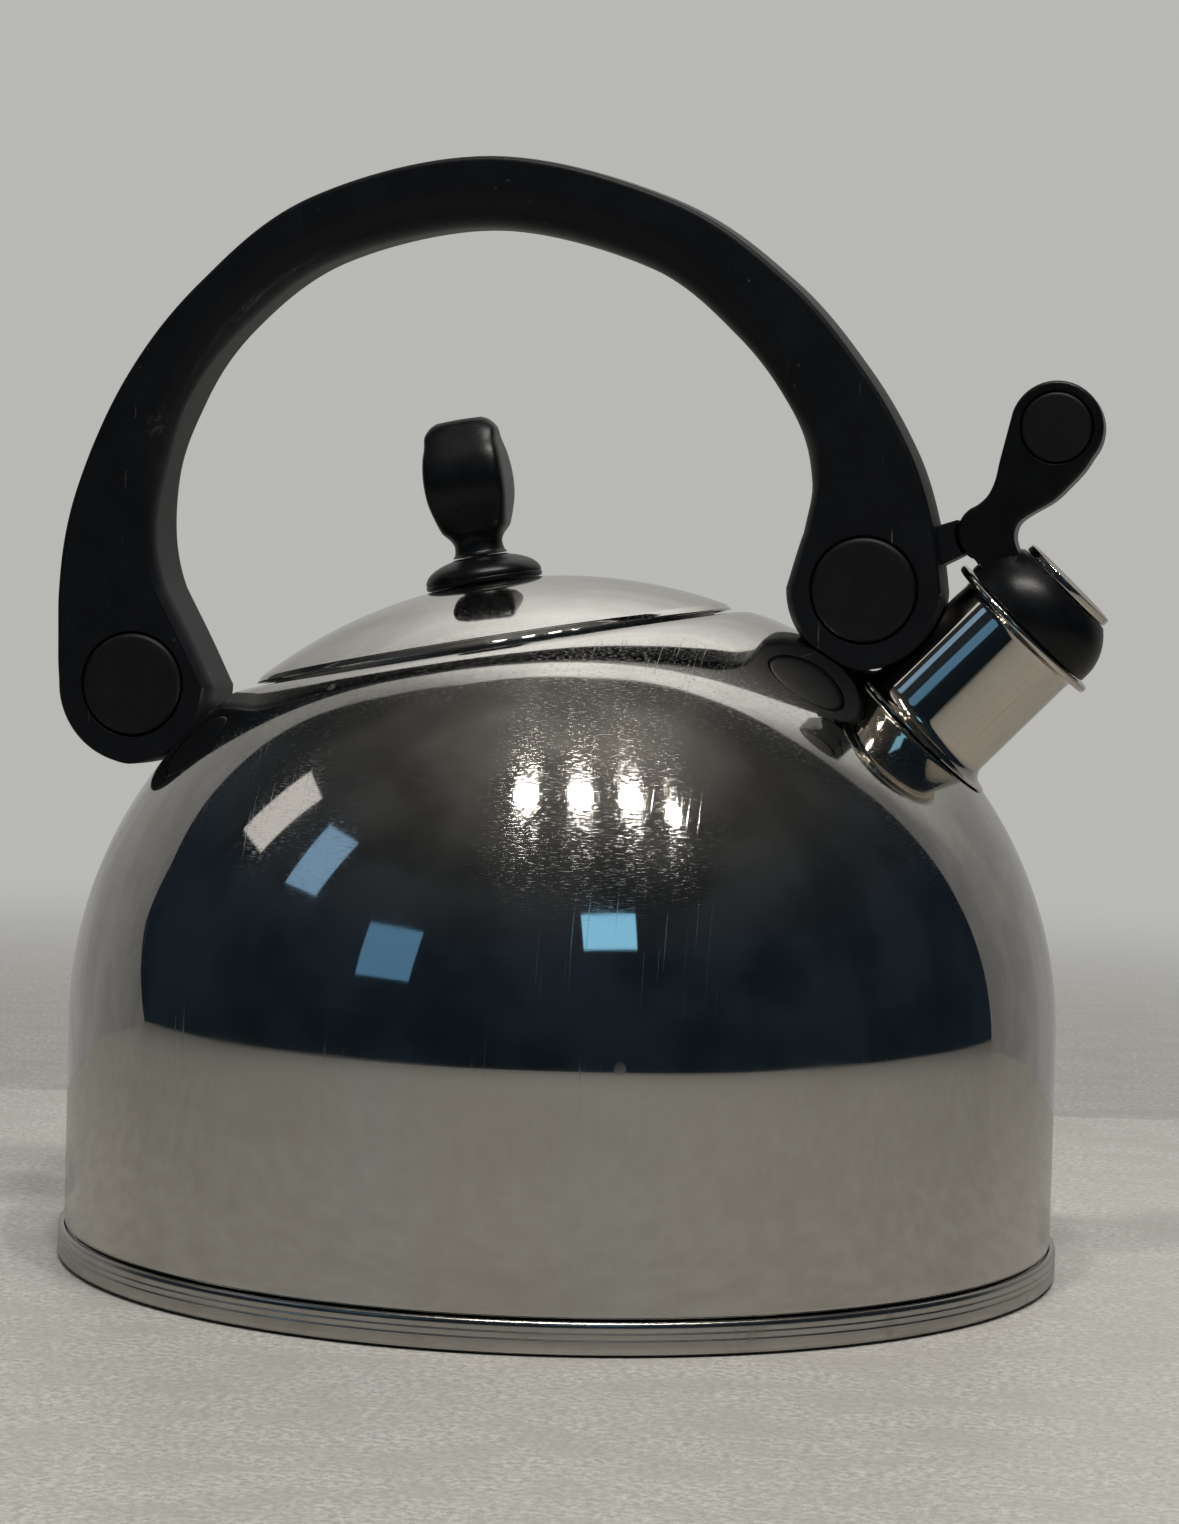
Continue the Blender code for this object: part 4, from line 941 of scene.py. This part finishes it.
def dress_frame_nodes():
    """CAD nodes whose own shape is kept get a detailed material."""
    kept = ((ZINC, "knob_screw knob_washer rear_bolt front_bolt rear_nut front_nut pivot_pin"),
            (INNER_STEEL, "floor_pan rear_bracket front_bracket whistle_sleeve"),
            (ALUMINIUM, "heat_spreader"))
    for mat, nodes in kept:
        for node in nodes.split():
            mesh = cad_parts[node].data
            mesh.materials.clear()
            mesh.materials.append(mat)


# ------------ studio and camera
VIEW_TURN = 0.178                       # the camera stands this far round towards the spout
VIEW_DISTANCE = 0.83655
VIEW_HEIGHT = 0.15511
PAN, PITCH, ROLL = -0.0052, 0.0527, 0.0278
SENSOR = 36.0
LENS = 2.45673228 * SENSOR
TURN = Matrix.Rotation(VIEW_TURN, 3, "Z")


def make_camera():
    """The photograph's viewing angle: level with the handle's feet, a little from the spout's side."""
    aim = Matrix.Rotation(ROLL, 3, "Y") @ Matrix.Rotation(PITCH, 3, "X") @ Matrix.Rotation(-PAN, 3, "Z")
    right, forward, up = aim
    axes = TURN @ Matrix((right, up, -forward)).transposed()
    camera = bpy.data.cameras.new("photo_camera")
    camera.lens = LENS
    camera.sensor_width = SENSOR
    camera.clip_start, camera.clip_end = 0.02, 50.0
    obj = bpy.data.objects.new("photo_camera", camera)
    obj.matrix_world = Matrix.Translation(TURN @ Vector((0, -VIEW_DISTANCE, VIEW_HEIGHT))) @ axes.to_4x4()
    bpy.context.collection.objects.link(obj)
    bpy.context.scene.camera = obj


BACKDROP = (0.485, 0.482, 0.462)
WALL_DISTANCE = 0.235
WALL_OUTLINE = ((-0.95, 0.0), (0.75, 0.0), (0.72, 0.50), (0.68, 0.72), (0.53, 0.87), (0.33, 0.97),
                (0.05, 1.06), (-0.25, 0.94), (-0.34, 0.73), (-0.37, 0.53), (-0.41, 0.44), (-0.485, 0.36),
                (-0.60, 0.29), (-0.64, 0.19), (-0.93, 0.02))
FLOOR_RADIUS = 1.25
FLOOR_LEVEL = -0.05 * MM            # just under the base, so the two faces don't share a plane


def make_floor():
    """A pale matt floor that fades into the backdrop; reflections see it a little darker."""
    bm = bmesh.new()
    bmesh.ops.create_circle(bm, cap_ends=True, segments=96, radius=FLOOR_RADIUS)
    bmesh.ops.transform(bm, matrix=Matrix.Translation((0, 0, FLOOR_LEVEL)), verts=bm.verts)
    floor = bake("studio_floor", bm)
    mat, n = new_material("pale_floor", rgb(0.55, 0.54, 0.52), 0.42, 0.0)
    place = n.coords()
    fine = n.noise(place, 620.0, 4.0, 0.7)
    blotch = n.noise(n.scaled(place, (1.0, 1.6, 1.0)), 42.0, 5.0, 0.68)
    shade = n.mix(n.ramp(fine, 0.34, 0.66), rgb(0.55, 0.54, 0.51), rgb(0.92, 0.905, 0.865))
    shade = n.mix(n.ramp(blotch, 0.40, 0.64, 0.0, 0.6), shade, rgb(0.62, 0.605, 0.565))
    # Painted light: the floor's colour grows paler towards +X, standing in for the brighter light falling
    # on that side.
    shade = n.mix(n.ramp(n.part_of(place, "X"), 0.05, 0.30, 0.0, 0.55), shade, rgb(0.96, 0.945, 0.905))
    # Painted shade: rays other than the camera's see a darker floor colour, so the kettle's reflections of
    # the floor come out dimmer.
    seen = n.add("ShaderNodeLightPath", "Is Camera Ray")
    mirrored = n.mix(n.ramp(blotch, 0.30, 0.70), rgb(0.415, 0.402, 0.368), rgb(0.50, 0.487, 0.452))
    n.shade(Base_Color=n.mix(seen, mirrored, shade))
    n.shade(Normal=n.bump(fine, 0.0002, 0.3))
    reach = n.vector("LENGTH", place, output="Value")
    glow = n.add("ShaderNodeEmission", "Emission", {"Color": rgb(*BACKDROP), "Strength": 1.0})
    mixer = mat.node_tree.nodes.new("ShaderNodeMixShader")
    n.put(mixer.inputs[0], n.times(n.ramp(reach, 0.26, 1.0), seen))
    n.put(mixer.inputs[1], mat.node_tree.nodes["Principled BSDF"].outputs[0])
    n.put(mixer.inputs[2], glow)
    n.put(mat.node_tree.nodes["Material Output"].inputs["Surface"], mixer.outputs[0])
    floor.data.materials.append(mat)


def make_wall():
    """A pale lit board behind the kettle. Only reflections see it, so no view is blocked by it."""
    bm = bmesh.new()
    bm.faces.new([bm.verts.new((x, WALL_DISTANCE, z)) for x, z in WALL_OUTLINE])
    wall = bake("studio_board", bm, TURN.to_4x4())
    mat, n = new_material("lit_board", rgb(0.8, 0.79, 0.76), 0.6, 0.0)
    place = n.coords()
    across, height = n.part_of(place, "X"), n.part_of(place, "Z")
    side = n.math("POWER", n.math("DIVIDE", across, 0.30), 2.0)
    low = n.math("DIVIDE", 0.30, n.plus(side, 1.0))
    pool = n.times(n.ramp(across, -0.32, 0.0), n.ramp(across, 0.24, 0.62, 1.0, 0.0))
    pool = n.times(pool, n.ramp(height, 0.20, 0.48, 0.0, 0.62))
    total = n.plus(n.plus(low, pool), 0.10)
    veins = n.ramp(n.noise(place, 7.0, 5.0, 0.6, 1.2), 0.35, 0.65, 0.90, 1.06)
    glow = n.add("ShaderNodeEmission", "Emission",
                 {"Color": rgb(1.0, 0.985, 0.94), "Strength": n.times(total, veins)})
    n.put(mat.node_tree.nodes["Material Output"].inputs["Surface"], glow)
    wall.data.materials.append(mat)
    wall.visible_camera = False
    wall.visible_shadow = False


def make_world():
    """A dim room, lighter overhead; the camera itself sees a plain backdrop."""
    world = bpy.data.worlds.new("studio")
    world.use_nodes = True
    bpy.context.scene.world = world
    n = Nodes(world.node_tree)
    place = n.add("ShaderNodeTexCoord", "Generated")
    height = n.vector("DOT_PRODUCT", place, (0.0, 0.0, 1.0), "Value")
    ramp = world.node_tree.nodes.new("ShaderNodeValToRGB")
    stops = ramp.color_ramp.elements
    stops[0].position, stops[0].color = 0.0, rgb(0.008, 0.013, 0.018)
    stops[1].position, stops[1].color = 1.0, rgb(0.200, 0.190, 0.170)
    for position, colour in ((0.40, (0.010, 0.016, 0.023)), (0.70, (0.026, 0.028, 0.030)),
                             (0.86, (0.052, 0.051, 0.048)), (0.93, (0.090, 0.086, 0.078))):
        stops.new(position).color = rgb(*colour)
    n.put(ramp.inputs["Fac"], height)
    shade = n.ramp(n.noise(place, 2.6, 2.0), 0.34, 0.66, 0.72, 1.3)
    room = n.vector("MULTIPLY", ramp.outputs["Color"],
                    n.add("ShaderNodeCombineXYZ", inputs={"X": shade, "Y": shade, "Z": shade}))
    ray = n.add("ShaderNodeLightPath", "Is Camera Ray")
    colour = n.mix(ray, room, rgb(*BACKDROP))
    background = world.node_tree.nodes["Background"]
    n.put(background.inputs["Color"], colour)
    background.inputs["Strength"].default_value = 1.0


LAMP_HEIGHT = 1.50
LAMP_COLOUR = (1.0, 0.96, 0.90)
# (x, y, size, power) of the round lamps in a row over the kettle's front
LAMPS = ((-0.208, -0.584, 0.115, 4.0), (0.059, -0.585, 0.115, 4.0), (0.306, -0.559, 0.115, 4.0),
         (0.550, -0.606, 0.075, 2.0))
# (name, place, width, depth, power, colour) of the window-like panels far across the room
PANELS = (("far_panel_left", (-1.72, -1.92, 1.15), 0.62, 0.62, 0.55, (0.17, 0.42, 0.70)),
          ("far_panel_side", (-1.92, -0.62, 1.62), 0.42, 0.62, 0.42, (0.40, 0.68, 1.0)),
          ("far_panel_back", (-1.90, 0.22, 1.66), 0.42, 0.62, 0.55, (0.98, 0.95, 0.90)),
          ("far_panel_mid", (0.50, -2.6, 1.75), 0.62, 0.50, 0.9, (0.30, 0.70, 1.0)))
LAMP_AIM = Vector((0.0, 0.0, 0.1))


def make_lamp(name, place, width, power, colour, depth=None):
    """A lamp that faces the kettle: round, or a rectangle when it has a depth."""
    lamp = bpy.data.lights.new(name, "AREA")
    lamp.shape = "RECTANGLE" if depth else "DISK"
    lamp.size = width
    if depth:
        lamp.size_y = depth
    lamp.energy = power
    lamp.color = colour
    obj = bpy.data.objects.new(name, lamp)
    obj.location = TURN @ Vector(place)
    obj.rotation_mode = "QUATERNION"
    obj.rotation_quaternion = (LAMP_AIM - obj.location).to_track_quat("-Z", "Y")
    obj.visible_camera = False
    bpy.context.collection.objects.link(obj)


def make_lamps():
    for i, (x, y, size, power) in enumerate(LAMPS):
        make_lamp(f"lamp_{i}", (x, y, LAMP_HEIGHT), size, power, LAMP_COLOUR)
    for name, place, width, depth, power, colour in PANELS:
        make_lamp(name, place, width, power, colour, depth)


bpy.context.scene.view_settings.view_transform = "Standard"
make_camera()
make_floor()
make_wall()
make_world()
make_lamps()
make_body()
make_base()
make_lid()
make_knob()
make_handle()
make_caps()
make_spout()
make_lever()
make_whistle()
make_spring()
dress_frame_nodes()

bpy.context.view_layer.update()
